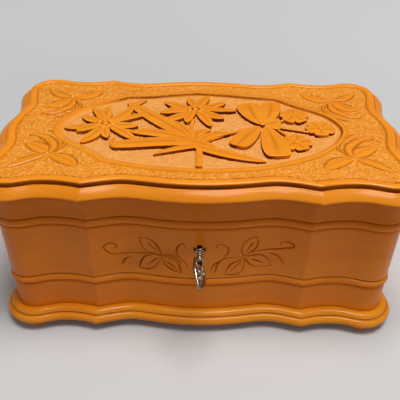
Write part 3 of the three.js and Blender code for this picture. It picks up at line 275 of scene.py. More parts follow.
def lattice(columns, rows, place, openSheet=False):
    # a grid whose points are set by place(column, row), which gives millimetres and marks for the finish
    bm = bmesh.new()
    bmesh.ops.create_grid(bm, x_segments=columns, y_segments=rows, size=1)
    spots = np.array([vert.co[:2] for vert in bm.verts])
    column = np.rint((spots[:, 0] + 1) / 2 * columns).astype(int)
    row = np.rint((spots[:, 1] + 1) / 2 * rows).astype(int)
    points, marks = place(column, row)
    points = points / 1000
    points[:, 1] += middleY
    for vert, point in zip(bm.verts, points.tolist()):
        vert.co = point
    for name, values in marks.items():
        layer = bm.verts.layers.float.new(name)
        for vert, value in zip(bm.verts, values.tolist()):
            vert[layer] = value
    if not openSheet:
        weld(bm)
    return bm


def weld(bm):
    rim = [vert for vert in bm.verts if vert.is_boundary]
    bmesh.ops.remove_doubles(bm, verts=rim, dist=joinedWithin)
    loose = [vert for vert in bm.verts if not vert.link_faces]
    bmesh.ops.delete(bm, geom=loose, context="VERTS")


def rimOf(bm):
    return [edge for edge in bm.edges if edge.is_boundary]


def closeEnds(bm):
    bmesh.ops.holes_fill(bm, edges=rimOf(bm), sides=0)
    bmesh.ops.recalc_face_normals(bm, faces=bm.faces)


def skirted(bm, z):
    # the edge of a sheet goes straight to height z in millimetres, and is closed there
    made = bmesh.ops.extrude_edge_only(bm, edges=rimOf(bm))
    for vert in (item for item in made["geom"] if isinstance(item, bmesh.types.BMVert)):
        vert.co.z = z / 1000
    closeEnds(bm)


def makePiece(name, bm, body, finish, replaced=(), crease=creases["wood"]):
    mesh = bpy.data.meshes.new(name)
    bm.to_mesh(mesh)
    bm.free()
    mesh.shade_smooth()
    mesh.set_sharp_from_angle(angle=math.radians(crease))
    mesh.materials.append(finish)
    piece = linked(name, mesh)
    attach(piece, body)
    if replaced:
        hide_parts(*replaced)
    return piece


def cutAway(piece, cutters):
    # each cutter is a bmesh that is taken out of the piece, and then gone
    for count, cutter in enumerate(cutters):
        mesh = bpy.data.meshes.new(f"{piece.name}Cutter{count}")
        bmesh.ops.recalc_face_normals(cutter, faces=cutter.faces)
        cutter.to_mesh(mesh)
        cutter.free()
        tool = linked(mesh.name, mesh)
        chisel = piece.modifiers.new("chisel", "BOOLEAN")
        chisel.object, chisel.operation, chisel.solver = tool, "DIFFERENCE", "EXACT"
        shaped = bpy.data.meshes.new_from_object(piece.evaluated_get(bpy.context.evaluated_depsgraph_get()))
        piece.modifiers.remove(chisel)
        old, piece.data = piece.data, shaped
        shaped.name = piece.name
        bpy.data.meshes.remove(old)
        bpy.data.objects.remove(tool)
        bpy.data.meshes.remove(mesh)
    piece.data.set_sharp_from_angle(angle=math.radians(creases["wood"]))


def boxOf(x0, x1, y0, y1, z0, z1):
    bm = bmesh.new()
    bmesh.ops.create_cube(bm, size=1)
    size = Matrix.Diagonal((*(Vector((x1 - x0, y1 - y0, z1 - z0)) / 1000), 1))
    middle = placed((x0 + x1) / 2, (y0 + y1) / 2, (z0 + z1) / 2)
    bmesh.ops.transform(bm, matrix=Matrix.Translation(middle) @ size, verts=bm.verts)
    return bm


def rodOf(radius, start, end, sides=48):
    # a round bar between two points in millimetres
    a, b = placed(*start), placed(*end)
    bm = bmesh.new()
    bmesh.ops.create_cone(bm, cap_ends=True, segments=sides, radius1=radius / 1000, radius2=radius / 1000,
                          depth=(b - a).length)
    turn = (b - a).to_track_quat("Z", "Y").to_matrix().to_4x4()
    bmesh.ops.transform(bm, matrix=Matrix.Translation((a + b) / 2) @ turn, verts=bm.verts)
    return bm


def added(bm, other):
    # other's mesh goes into bm
    mesh = bpy.data.meshes.new("passing")
    other.to_mesh(mesh)
    other.free()
    bm.from_mesh(mesh)
    bpy.data.meshes.remove(mesh)


def spun(points, centre, axis, sides, closed=False):
    # a line of points in millimetres, spun about an axis through centre; closed where it is a loop
    bm = bmesh.new()
    line = [bm.verts.new(placed(*point)) for point in points]
    edges = [bm.edges.new(pair) for pair in zip(line, line[1:] + line[:1] * closed)]
    bmesh.ops.spin(bm, geom=line + edges, cent=placed(*centre), axis=axis, angle=2 * math.pi, steps=sides,
                   use_merge=True)
    bmesh.ops.remove_doubles(bm, verts=bm.verts, dist=joinedWithin)
    return bm


# Serpentine plan, from the front centre round to the back and the left side

plan = {
    "length": 229.6, "depth": 126.4, "corner": 13.0, "hollow": 0.403, "hollowDepth": 4.3, "cusp": 0.609,
    "cuspRise": 0.1, "cuspLean": 0.17, "outerHollow": 0.805, "outerDepth": 3.0, "lobeRise": 0.6,
    "endHollow": 0.492, "endDepth": 4.2,
}
frontY = plan["depth"] / 2
lobeX = plan["length"] / 2 - plan["corner"]
seamY = frontY + plan["lobeRise"] - plan["corner"]
quarterParts = 7


def curve(t, p0, p1, p2, p3):
    return [(1 - t) ** 3 * a + 3 * t * (1 - t) ** 2 * b + 3 * t * t * (1 - t) * c + t ** 3 * d
            for a, b, c, d in zip(p0, p1, p2, p3)]


def quarterPoint(grow, span):
    # span runs from 0 at the front centre to 7 at the middle of the right-hand end
    part = np.minimum(np.floor(span), quarterParts - 1)
    t = span - part
    hollowX, outerX = lobeX * plan["hollow"], lobeX * plan["outerHollow"]
    centreY = -(frontY + grow)
    ridgeX, ridgeY = lobeX * plan["cusp"] + plan["cuspLean"] * grow, centreY - plan["cuspRise"]
    innerY, outerY = centreY + plan["hollowDepth"], centreY + plan["outerDepth"]
    lobeY, endX = centreY - plan["lobeRise"], plan["length"] / 2 + grow
    innerRun, outerRun, lobeRun = ridgeX - hollowX, outerX - ridgeX, lobeX - outerX
    endHollowY = seamY * plan["endHollow"]
    endRun, hollowEndX = seamY - endHollowY, endX - plan["endDepth"]
    angle = math.pi / 2 * (t - 1)
    parts = [
        curve(t, (0, centreY), (hollowX / 2, centreY), (hollowX * 0.8, innerY), (hollowX, innerY)),
        curve(t, (hollowX, innerY), (hollowX + innerRun * 0.3, innerY),
              (ridgeX - innerRun * 0.38, ridgeY + plan["hollowDepth"] / 2), (ridgeX, ridgeY)),
        curve(t, (ridgeX, ridgeY), (ridgeX + outerRun * 0.3, ridgeY + plan["outerDepth"] * 0.6),
              (outerX - outerRun * 0.4, outerY), (outerX, outerY)),
        curve(t, (outerX, outerY), (outerX + lobeRun * 0.5, outerY), (lobeX - lobeRun * 0.35, lobeY),
              (lobeX, lobeY)),
        [lobeX + (plan["corner"] + grow) * np.cos(angle), -seamY + (plan["corner"] + grow) * np.sin(angle)],
        curve(t, (endX, -seamY), (endX, -seamY + endRun * 0.35), (hollowEndX, -endHollowY - endRun * 0.35),
              (hollowEndX, -endHollowY)),
        curve(t, (hollowEndX, -endHollowY), (hollowEndX, -endHollowY * 0.65), (endX, -endHollowY * 0.5),
              (endX, 0 * grow)),
    ]
    chosen = [part == number for number in range(quarterParts)]
    x = np.select(chosen, [np.broadcast_to(p[0], span.shape) for p in parts])
    y = np.select(chosen, [np.broadcast_to(p[1], span.shape) for p in parts])
    return x, y


def planPoint(grow, span):
    # span counts the whole way round, 28 parts
    span = np.mod(span, 4 * quarterParts)
    quadrant = np.minimum(np.floor(span / quarterParts), 3)
    within = span - quadrant * quarterParts
    within = np.where(quadrant % 2 == 0, within, quarterParts - within)
    x, y = quarterPoint(grow, within)
    return np.where(quadrant >= 2, -x, x), np.where((quadrant == 1) | (quadrant == 2), -y, y)


def spansOf(first, last, steps):
    # where the columns stand, with so many steps in each of the seven kinds of part
    spans = []
    for part in range(first, last):
        inQuarter = part % quarterParts
        kind = inQuarter if (part // quarterParts) % 2 == 0 else quarterParts - 1 - inQuarter
        spans.extend(part + step / steps[kind] for step in range(steps[kind]))
    return np.array(spans + [last], float)


# Moulding profiles: rows of how far outwards, how high, and how dark the wood is painted there, with stain and with
# painted shade in grooves and joints

def bead(grow, proud, z0, z1, steps):
    rows = []
    for step in range(steps + 1):
        angle = math.pi * step / steps
        rise = math.sin(angle)
        rows.append((grow + proud * rise, (z0 + z1) / 2 - (z1 - z0) / 2 * math.cos(angle),
                     min(1, max(0, 1 - 2.6 * rise))))
    return rows


def rounded(grow, width, z0, height, steps):
    return [(grow + width * math.cos(math.pi / 2 * step / steps),
             z0 + height * math.sin(math.pi / 2 * step / steps), 0) for step in range(steps + 1)]


def slanted(grow, width, z0, height):
    # a worn chamfer: tight curves at its lower and upper edges, and a face between them that swells a little
    corners = [(width, 0), (width, 0.5), (width - 0.38, 0.95), (width * 0.62, height * 0.6), (0.72, height - 0.42),
               (0.3, height - 0.06), (0, height)]
    rows = []
    for first, steps in ((0, 4), (2, 6), (4, 6)):
        a, b, c = corners[first:first + 3]
        for step in range(steps + (first == 4)):
            t = step / steps
            # every row of the chamfer is painted a little darker: painted shade on its sloping face
            rows.append((grow + (1 - t) ** 2 * a[0] + 2 * t * (1 - t) * b[0] + t * t * c[0],
                         z0 + (1 - t) ** 2 * a[1] + 2 * t * (1 - t) * b[1] + t * t * c[1], 0.14))
    return rows


def straight(grow0, z0, grow1, z1, steps):
    return [(grow0 + (grow1 - grow0) * step / steps, z0 + (z1 - z0) * step / steps, 0)
            for step in range(1, steps)]


case = {"wallZ": 14.0, "rimZ": 81.7, "taper": 1.2, "lowBand": 33.6, "lowHeight": 5.0, "rimHeight": 5.2,
        "groove": 1.3, "proud": 1.0, "lip": 0.8, "shoulder": 2.0, "roomX": 101.0}


def shoulderRows(grow, bandZ):
    # the rounded upper edge of a wall face, and the fine groove above it
    rows = []
    for step in range(7):
        angle = math.pi / 2 * step / 6
        rows.append((grow - (case["groove"] - 0.15) * (1 - math.cos(angle)),
                     bandZ - case["shoulder"] + (case["shoulder"] - 0.35) * math.sin(angle), 0))
    return rows + [(grow - case["groove"], bandZ - 0.25, 0.9)]


def wallRows(beadSteps, panelSteps):
    lowGrow = -case["taper"] * (case["rimZ"] - case["lowBand"]) / (case["rimZ"] - case["wallZ"])
    groove, proud, lip = case["groove"], case["groove"] + case["proud"], case["lip"]
    low, high = case["lowBand"], case["lowBand"] + case["lowHeight"]
    rim = case["rimZ"] - case["rimHeight"]
    # the foot of the wall, where it meets the base, is painted dark: painted shade in the joint
    rows = [(-case["taper"], case["wallZ"], 0.8)]
    rows += [(-case["taper"], case["wallZ"] + 0.5, 0.25), (-case["taper"], case["wallZ"] + 1.4, 0)]
    rows += straight(-case["taper"], case["wallZ"] + 1.4, lowGrow, low - case["shoulder"], 8)
    rows += shoulderRows(lowGrow, low) + bead(lowGrow - groove, proud, low, high, beadSteps)
    rows += [(lowGrow - groove * 0.5, high + lip * 0.6, 0.8), (lowGrow, high + lip, 0.1)]
    rows += straight(lowGrow, high + lip, 0, rim - case["shoulder"], panelSteps)
    rows += shoulderRows(0, rim) + bead(-groove, proud, rim, case["rimZ"], beadSteps)[:-1]
    # the top of the rim, where the lid closes, is painted dark: painted shade in the joint
    rows += [(-groove, case["rimZ"], 0.9)]
    return rows


def boardBetween(spans, rows, inner, carve=None):
    # a closed board: the moulded face outside, and a plain face at inner(x, y) inside
    grows, zs, deeps = np.array(rows).T
    count = len(rows)

    def place(column, row):
        span = spans[column]
        outside = (row > 0) & (row <= count)
        level = np.where(row == count + 2, 0, np.clip(row - 1, 0, count - 1))
        x, y = planPoint(np.where(outside, grows[level], grows.min()), span)
        backX, backY = inner(x, y)
        deep = np.where(outside, deeps[level], 0)
        points = np.stack([np.where(outside, x, backX), np.where(outside, y, backY), zs[level]], 1)
        if carve:
            points, deep = carve(points, deep, outside)
        return points, {"recess": deep}

    bm = lattice(len(spans) - 1, count + 2, place)
    closeEnds(bm)
    return bm


def acrossFace(middle, ends):
    # an inner face that runs lengthwise, and may stand elsewhere at the two ends
    return lambda x, y: (x, np.where(abs(x) < lid["railX"], middle, ends))


def endFace(place):
    return lambda x, y: (np.full_like(x, place), y)


# Carved lines

def smoothLine(points, perSpan=8):
    # a curve through the points
    p = np.array(points, float)
    if len(p) == 2:
        t = np.linspace(0, 1, perSpan)[:, None]
        return p[0] + (p[1] - p[0]) * t
    padded = np.vstack([2 * p[0] - p[1], p, 2 * p[-1] - p[-2]])
    out = []
    for k in range(len(p) - 1):
        a, b, c, d = padded[k:k + 4]
        for t in np.linspace(0, 1, perSpan, endpoint=False):
            out.append(0.5 * (2 * b + (c - a) * t + (2 * a - 5 * b + 4 * c - d) * t * t
                              + (3 * b - a - 3 * c + d) * t ** 3))
    out.append(p[-1])
    return np.array(out)


def lineDistance(points, line):
    # distance of each point from a line, and how far along the line it lies, 0 to 1
    best = np.full(len(points), 1e9)
    along = np.zeros(len(points))
    lengths = np.linalg.norm(np.diff(line, axis=0), axis=1)
    starts = np.concatenate([[0], np.cumsum(lengths)])
    for k, (a, b) in enumerate(zip(line, line[1:])):
        step = b - a
        t = np.clip(((points - a) @ step) / max(step @ step, 1e-9), 0, 1)
        gap = np.linalg.norm(points - a - t[:, None] * step, axis=1)
        nearer = gap < best
        best = np.where(nearer, gap, best)
        along = np.where(nearer, (starts[k] + t * lengths[k]) / starts[-1], along)
    return best, along


def insideOf(points, line):
    # whether each point lies inside a closed line
    inside = np.zeros(len(points), bool)
    x, y = points[:, 0], points[:, 1]
    for a, b in zip(line, np.roll(line, -1, axis=0)):
        crosses = (a[1] > y) != (b[1] > y)
        with np.errstate(divide="ignore", invalid="ignore"):
            at = (b[0] - a[0]) * (y - a[1]) / (b[1] - a[1]) + a[0]
        inside ^= crosses & (x < at)
    return inside


frontOrnament = {
    "width": 0.85, "depth": 0.8, "reach": 58, "low": 39.6, "high": 75.6,
    "strokes": [
        [(-21.7, 55.4), (-24.6, 62.8), (-29.0, 67.1), (-34.4, 67.3)],
        [(-34.4, 67.3), (-33.5, 61.7), (-30.6, 57.5), (-26.4, 56.3), (-21.7, 55.2)],
        [(-26.4, 56.0), (-32.0, 52.7), (-34.7, 47.2), (-35.2, 43.5)],
        [(-35.2, 43.5), (-30.0, 43.5), (-25.9, 46.2), (-22.6, 52.5), (-21.7, 55.0)],
        [(-21.4, 55.0), (-17.1, 53.8), (-12.5, 50.4), (-10.6, 42.7)],
        [(-10.6, 42.7), (-17.2, 45.5), (-20.3, 49.2), (-21.6, 54.6)],
        [(-20.9, 55.8), (-16.3, 56.5), (-10.9, 54.3), (-7.0, 49.0)],
        [(-20.4, 54.9), (-14.4, 54.2), (-10.2, 50.8)],
        [(-8.1, 63.1), (-8.8, 65.0), (-11.2, 64.9), (-13.1, 61.5), (-13.0, 58.0), (-10.9, 54.7), (-8.6, 52.5)],
        [(-26.4, 56.2), (-37.3, 55.3), (-46.7, 54.5), (-51.2, 55.3), (-54.3, 58.8), (-54.7, 61.6),
         (-52.3, 63.3), (-49.0, 62.6), (-47.5, 60.4), (-49.2, 59.6)],
        [(-39.9, 51.6), (-43.6, 49.8), (-45.8, 45.4)],
        [(-29.8, 64.0), (-23.8, 58.2)], [(-30.4, 46.8), (-24.6, 53.0)], [(-18.9, 51.0), (-13.4, 46.0)],
        [(25.6, 55.4), (24.3, 58.0), (23.9, 61.8), (26.3, 67.0), (30.8, 69.0), (32.6, 69.1)],
        [(32.6, 69.1), (33.2, 63.9), (31.4, 59.5), (26.6, 55.9)],
        [(27.0, 54.9), (34.8, 55.3), (39.8, 51.5), (42.2, 46.3)],
        [(42.2, 46.3), (35.5, 45.8), (29.8, 47.8), (26.2, 53.4)],
        [(25.7, 54.2), (21.7, 51.8), (17.9, 49.2), (15.7, 44.7), (15.5, 41.3)],
        [(15.5, 41.3), (19.8, 41.0), (24.5, 43.1), (26.2, 49.3), (25.9, 53.8)],
        [(24.2, 55.4), (20.8, 54.6), (15.3, 54.7), (10.8, 51.1), (9.1, 43.8)],
        [(13.1, 53.4), (7.8, 49.2), (6.7, 45.0)],
        [(9.3, 62.5), (10.0, 65.2), (13.1, 65.2), (16.2, 62.2), (16.0, 58.2), (14.1, 56.3)],
        [(28.4, 57.3), (36.1, 58.8), (43.8, 59.3), (49.7, 61.0), (53.0, 61.9), (53.5, 64.2), (50.0, 65.7),
         (46.6, 65.1), (46.4, 63.2)],
        [(40.9, 56.1), (45.8, 53.9), (49.3, 48.6)],
        [(26.6, 58.0), (30.2, 65.0)], [(29.8, 52.4), (37.4, 48.6)], [(24.2, 51.6), (18.6, 44.4)],
    ],
}


def carveFront(points, deep, outside):
    near = (outside & (abs(points[:, 0]) < frontOrnament["reach"]) & (points[:, 2] > frontOrnament["low"])
            & (points[:, 2] < frontOrnament["high"]))
    spots = points[near][:, [0, 2]]
    cut, stainAndShade = np.zeros((2, len(spots)))
    for number, stroke in enumerate(frontOrnament["strokes"]):
        gap, along = lineDistance(spots, smoothLine(stroke))
        # a V-tool line: thin where it starts, full in the middle, thin again at its end
        width = frontOrnament["width"] * (0.5 + 0.7 * np.sin(np.pi * np.clip(along, 0.02, 0.98)) ** 0.7)
        pressed = 0.72 + 0.28 * np.sin(number * 2.4 + along * 5)
        stroked = np.clip(1 - gap / width, 0, 1)
        cut = np.maximum(cut, stroked * pressed)
        # the bottom of each cut is painted dark: stain, and painted shade in the groove
        stainAndShade = np.maximum(stainAndShade, np.clip(stroked * 1.9 - 0.65, 0, 1) * pressed)
    points[near, 1] += cut * frontOrnament["depth"]
    deep[near] = np.maximum(deep[near], stainAndShade)
    return points, deep


lock = {"half": 15.3, "y0": -59.1, "y1": -48, "z0": 51.7, "keyholeZ": 61.9, "keyholeRadius": 3.2,
        "paintedShadeReach": 3.5}
hinge = {"x": 98.0, "half": 11.3, "y0": 54.0, "y1": 67.3, "leaf": 0.8}
pastTheJoint = (70, 90)      # heights at which a cutter has left the lid's rails or the walls


def hingePockets(z0, z1):
    return [boxOf(x - hinge["half"], x + hinge["half"], hinge["y0"], hinge["y1"], z0, z1)
            for x in (-hinge["x"], hinge["x"])]


def buildWalls():
    fine, plain = (108, 50, 22, 20, 18, 10, 14), (26, 14, 12, 12, 14, 12, 16)
    front = boardBetween(spansOf(23, 33, fine), wallRows(10, 92), acrossFace(-seamY, -seamY), carveFront)
    piece = makePiece("carvedFrontWall", front, "case", lengthwise, ["front_wall"])
    hole = rodOf(lock["keyholeRadius"], (0, -70, lock["keyholeZ"]), (0, -55, lock["keyholeZ"]))
    mortise = boxOf(-lock["half"], lock["half"], lock["y0"], lock["y1"], lock["z0"], pastTheJoint[1])
    cutAway(piece, [mortise, hole])
    # painted shade: the keyhole's bore is painted dark, out to just past its rim
    spots = np.array([vert.co[:] for vert in piece.data.vertices]) * 1000
    reach = np.hypot(spots[:, 0], spots[:, 2] - lock["keyholeZ"])
    marks = piece.data.attributes["recess"]
    values = np.zeros(len(spots))
    marks.data.foreach_get("value", values)
    marks.data.foreach_set("value", np.maximum(values, np.clip((lock["paintedShadeReach"] - reach) / 0.25, 0, 1)))
    sides = [("back", 9, 19, acrossFace(seamY, seamY), lengthwise),
             ("right", 5, 9, endFace(case["roomX"]), crosswise),
             ("left", 19, 23, endFace(-case["roomX"]), crosswise)]
    for side, first, last, inner, finish in sides:
        board = boardBetween(spansOf(first, last, plain), wallRows(10, 10), inner)
        piece = makePiece(f"{side}Wall", board, "case", finish, [f"{side}_wall"])
        if side == "back":
            cutAway(piece, hingePockets(case["rimZ"] - hinge["leaf"], pastTheJoint[1]))


def ringBody(spans, rows, endShade=1.0):
    # a moulded board all the way round, closed above and below; endShade makes its grooves paler at the ends
    grows, zs, deeps = np.array(rows).T

    def place(column, row):
        x, y = planPoint(grows[row], spans[column])
        atEnd = np.clip((3.0 - abs(np.mod(spans[column], 2 * quarterParts) - quarterParts)) / 0.8, 0, 1)
        return np.stack([x, y, zs[row]], 1), {"recess": deeps[row] * (1 + (endShade - 1) * atEnd)}

    bm = lattice(len(spans) - 1, len(rows) - 1, place)
    closeEnds(bm)
    return bm


base = {"footZ": 5.0, "grow": 6.5, "round": 2.9, "fillet": 3.6, "grooveZ": 10.94, "well": (67.5, -27.0, 18.0),
        "footRadius": 8.0, "footX": 101.8, "footY": 58.5}


def buildBase():
    steps = (26, 14, 12, 12, 16, 12, 14)
    torus = bead(base["grow"] - base["round"], base["round"], base["footZ"], base["grooveZ"], 12)
    rows = [(torus[0][0] - 1.5, base["footZ"], 0.2)] + [(g, z, d * (0.6 if z > 8 else 0.3)) for g, z, d in torus]
    rows += [(base["fillet"] - 0.9, base["grooveZ"] + 0.2, 0.9),
             (base["fillet"] - 0.2, base["grooveZ"] + 0.4, 0.5)]
    rows += rounded(0.2, base["fillet"] - 0.2, base["grooveZ"] + 0.45, case["wallZ"] - base["grooveZ"] - 0.45, 8)
    rows += [(-0.8, case["wallZ"], 0.25), (-4.0, case["wallZ"], 0.4)]
    board = ringBody(spansOf(0, 28, steps), rows)
    piece = makePiece("mouldedBase", board, "case", paintedLitWood, ["base_board"])
    x, y, radius = base["well"]
    cutAway(piece, [rodOf(radius, (x, y, 0), (x, y, 20), 72)])
    radius = base["footRadius"]
    profile = [(0, 0), (radius * 0.80, 0), (radius * 0.88, 0.2), (radius * 0.97, 1.2), (radius, 2.4),
               (radius, 3.2), (radius * 0.97, 4.2), (radius * 0.93, base["footZ"]), (0, base["footZ"])]
    for side, x in (("left", -base["footX"]), ("right", base["footX"])):
        for end, y in (("front", -base["footY"]), ("back", base["footY"])):
            foot = spun([(x + radius, y, z) for radius, z in profile], (x, y, 0), (0, 0, 1), 40)
            bmesh.ops.recalc_face_normals(foot, faces=foot.faces)
            makePiece(f"{end}{side.title()}Foot", foot, "case", lengthwise, [f"foot_{end}_{side}"])


lid = {"railZ": 82.0, "topZ": 100.5, "flare": 7.2, "railX": 95.0, "railY": 44.8, "grow": 8.9, "ovolo": 5.2,
       "ovoloHeight": 4.75, "step": 1.7, "grooveZ": 107.3, "quirk": 1.7, "quirkDepth": 0.6, "border": 4.9,
       "borderRise": 1.1, "fieldZ": 107.72}


def coveRows(steps):
    # the lowest rows are painted dark: painted shade in the joint where the lid closes
    rows = [(-1.0, lid["railZ"], 0.9), (-0.2, lid["railZ"] + 0.15, 0.6), (0.4, lid["railZ"] + 0.6, 0.15),
            (0.5, lid["railZ"] + 1.2, 0.05)]
    z0 = lid["railZ"] + 1.6
    for step in range(steps + 1):
        angle = math.pi / 2 * step / steps
        # the cove is painted darker towards its overhanging top: painted shade
        deep = 0.16 + 0.36 * (step / steps) ** 2
        rows.append((0.5 + lid["flare"] * (1 - math.cos(angle)), z0 + (lid["topZ"] - z0) * math.sin(angle), deep))
    return rows


strike = {"half": 13.3, "y0": -58.8, "y1": -49.8, "thick": 1.0}


def buildRails():
    steps = (40, 22, 14, 14, 16, 12, 16)
    sides = [("Front", 23, 33, acrossFace(-lid["railY"], -seamY), lengthwise),
             ("Back", 9, 19, acrossFace(lid["railY"], seamY), lengthwise),
             ("Right", 5, 9, endFace(lid["railX"]), crosswise),
             ("Left", 19, 23, endFace(-lid["railX"]), crosswise)]
    for side, first, last, inner, finish in sides:
        board = boardBetween(spansOf(first, last, steps), coveRows(20), inner)
        piece = makePiece(f"lid{side}Cove", board, "lid", finish, [f"lid_{side.lower()}_rail"])
        if side == "Front":
            cutAway(piece, [boxOf(-strike["half"], strike["half"], strike["y0"], strike["y1"], pastTheJoint[0],
                                  lid["railZ"] + strike["thick"])])
        if side == "Back":
            cutAway(piece, hingePockets(pastTheJoint[0], lid["railZ"] + hinge["leaf"]))


def topRows():
    grooveGrow = lid["grow"] - lid["ovolo"]
    outer, stepZ = grooveGrow - lid["quirk"], lid["grooveZ"] - lid["step"]
    # the underside is painted a little darker: painted shade under the overhang
    rows = [(3.0, lid["topZ"], 0.3), (lid["grow"] - 1.6, lid["topZ"], 0.4),
            (lid["grow"] - 0.9, lid["topZ"] + 0.25, 0.1)]
    rows += slanted(grooveGrow, lid["ovolo"], stepZ - lid["ovoloHeight"], lid["ovoloHeight"])
    # the quirk and its upright step face are painted dark: painted shade in the groove and on a face turned from
    # the light
    rows += [(grooveGrow - 0.3, stepZ - 0.1, 0.3), (grooveGrow - 0.5, stepZ - lid["quirkDepth"], 0.9),
             (outer, stepZ - lid["quirkDepth"], 1), (outer, stepZ, 0.9), (outer, lid["grooveZ"] - 0.5, 0.75)]
    for step in range(13):
        angle = math.pi * step / 12
        rows.append((outer - lid["border"] / 2 + lid["border"] / 2 * math.cos(angle),
                     lid["grooveZ"] + lid["borderRise"] * math.sin(angle),
                     max(0, 0.5 - 3 * math.sin(angle)) if step < 7 else 0))
    inner = outer - lid["border"]
    rows += [(inner - 0.1, lid["grooveZ"] - 0.2, 0.4), (inner - 0.5, lid["grooveZ"] - 0.5, 0.4),
             (inner - 0.5, lid["grooveZ"] - 2.4, 0.4)]
    return rows, inner


def buildLidTop():
    steps = (44, 24, 16, 16, 20, 16, 20)
    rows, inner = topRows()
    ring = ringBody(spansOf(0, 28, steps), rows, 0.35)
    makePiece("lidTopMoulding", ring, "lid", paintedLitWood, ["lid_top"])
    return inner


# Carving of the lid: a banded panel with mountain flowers on a punched ground

panel = {
    "columns": 424, "rows": 228, "edgeSteps": 12, "seed": 3, "grain": 0.16, "skirt": 2.3,
    "band": 2.4, "outer": -0.3, "floor": -1.4, "dip": -0.6, "slope": 4.2, "wall": 1.0,
    "left": [(-49, 40), (-60.5, 32), (-71, 23.5), (-79.5, 16), (-84.8, 6), (-86.3, -6), (-82, -16), (-73, -24.5),
             (-62, -33), (-54, -41)],
    "front": [(-54, -41), (-30, -47.5), (0, -50.5), (30, -48), (51, -41)],
    "right": [(51, -41), (60, -36.5), (68, -31), (80.3, -17), (86, -3), (82.8, 9.5), (75.5, 18.8), (61.5, 29),
              (49, 39.4)],
    "back": [(49, 39.4), (26, 43), (-1, 46.8), (-21, 43.8), (-34, 40.8), (-49, 40)],
    # a bud, the leaf that curls round it, and two leaves at its foot: their middle lines and half widths
    "corner": [
        ([(-85.8, -34.6), (-93.4, -27.6), (-101.4, -24.2)], 4.3),
        ([(-84.6, -35.0), (-84.6, -25.6), (-90.2, -17.8), (-97.0, -14.0), (-102.0, -14.6)], 2.3),
        ([(-87.2, -37.6), (-95.4, -41.6), (-104.4, -50.6)], 2.7),
        ([(-84.2, -37.4), (-76.0, -40.4), (-66.8, -48.6)], 4.0),
        ([(-82.6, -33.0), (-78.6, -24.0), (-83.6, -13.6), (-91.6, -8.4)], 0.9),
    ],
}


def leafCover(points, line, half):
    # 0 on the middle of a leaf, and 1 at its edge
    gap, along = lineDistance(points, smoothLine(line))
    return gap / (half * np.sin(np.pi * np.clip(along, 0.0, 1.0) ** 0.85) ** 0.7 + 0.15)


def buildField(inner):
    columns, lines = panel["columns"], panel["rows"]
    edge = spansOf(0, 28, (panel["edgeSteps"],) * quarterParts)
    edgeX, edgeY = planPoint(np.full(len(edge), inner - 0.45), edge)
    edgeAngle = np.arctan2(edgeY, edgeX)
    order = np.argsort(edgeAngle)
    edgeAngle, edgeReach = edgeAngle[order], np.hypot(edgeX, edgeY)[order]
    halfX, halfY = edgeX.max(), edgeY.max()
    outline = np.vstack([smoothLine(panel[side])[:-1] for side in ("left", "front", "right", "back")])
    closedLine = np.vstack([outline, outline[:1]])
    # the punched ground's own small rises
    generator = np.random.default_rng(panel["seed"])
    rough = generator.normal(0, 1, (lines + 1, columns + 1))
    rough = rough + np.roll(rough, 1, 0) + np.roll(rough, 1, 1) + np.roll(rough, (1, 1), (0, 1))
    grain = panel["grain"] * rough / 2

    def place(column, row):
        x = (column / columns * 2 - 1) * halfX
        y = (row / lines * 2 - 1) * halfY
        angle = np.arctan2(y, x)
        reach = np.interp(angle, edgeAngle, edgeReach, period=2 * math.pi)
        square = 1 / np.maximum(np.maximum(abs(np.cos(angle)) / halfX, abs(np.sin(angle)) / halfY), 1e-9)
        x, y = x * reach / square, y * reach / square
        spots = np.stack([x, y], 1)
        gap, _ = lineDistance(spots, closedLine)
        within = insideOf(spots, outline)
        # the panel's edge is cut steeply behind and at the right, and slopes down gently elsewhere
        facing = np.clip((x / 87 * 0.8 + y / 45) * 2.2 + 0.3, 0, 1)
        slope = panel["slope"] + (panel["wall"] - panel["slope"]) * facing
        fall = np.clip(gap / slope, 0, 1)
        floor = panel["floor"] + panel["dip"] * np.clip(gap / 14, 0, 1)
        height = np.where(within, floor * fall ** 2 * (3 - 2 * fall), panel["outer"]
                          * np.clip((gap - panel["band"]) / 0.9, 0, 1))
        # the steep edge behind and at the right is painted dark as shade, and a faint dark line runs along the
        # band's outer edge
        deep = np.where(within, facing * 0.95 * np.exp(-((gap - 0.55) / 0.6) ** 2),
                        0.28 * np.exp(-((gap - panel["band"]) / 0.4) ** 2))
        stipple = np.where(within, np.clip((gap - slope) / 0.8, 0, 1) * 0.7,
                           np.clip((gap - panel["band"] - 0.2) / 0.6, 0, 1))
        height = height + stipple * grain[row, column]
        for line, half in panel["corner"]:
            for sx in (1, -1):
                for sy in (1, -1):
                    close = leafCover(spots, [(px * sx, py * sy) for px, py in line], half)
                    near = (close < 1.6) & ~within & (gap > panel["band"] + 0.3)
                    lift = np.where(close < 1, 0.75 * np.clip(1 - close ** 2, 0, 1) ** 0.6, 0)
                    vein = 0.22 * np.exp(-(close / 0.14) ** 2) * (half > 2.5)
                    groove = np.exp(-((close - 1.1) * half / 0.6) ** 2)
                    height = np.where(near, np.maximum(height, panel["outer"] + lift) - groove * 0.35 - vein,
                                      height)
                    deep = np.where(near, np.maximum(deep, groove * 0.55 + vein), deep)
                    stipple = np.where(near & (close < 1.15), 0, stipple)
        rim = np.maximum(abs(column / columns * 2 - 1), abs(row / lines * 2 - 1))
        deep = np.maximum(deep, np.clip((rim - 0.988) / 0.012, 0, 1) * 0.35)
        bare = np.where(within, np.clip((gap - 1.0) / 2.0, 0, 1), 0)
        points = np.stack([x, y, lid["fieldZ"] + height], 1)
        return points, {"recess": deep, "punched": stipple, "bare": bare}

    bm = lattice(columns, lines, place, openSheet=True)
    skirted(bm, lid["grooveZ"] - panel["skirt"])
    makePiece("carvedField", bm, "lid", paintedLitWood, ["lid_top"], creases["carving"])


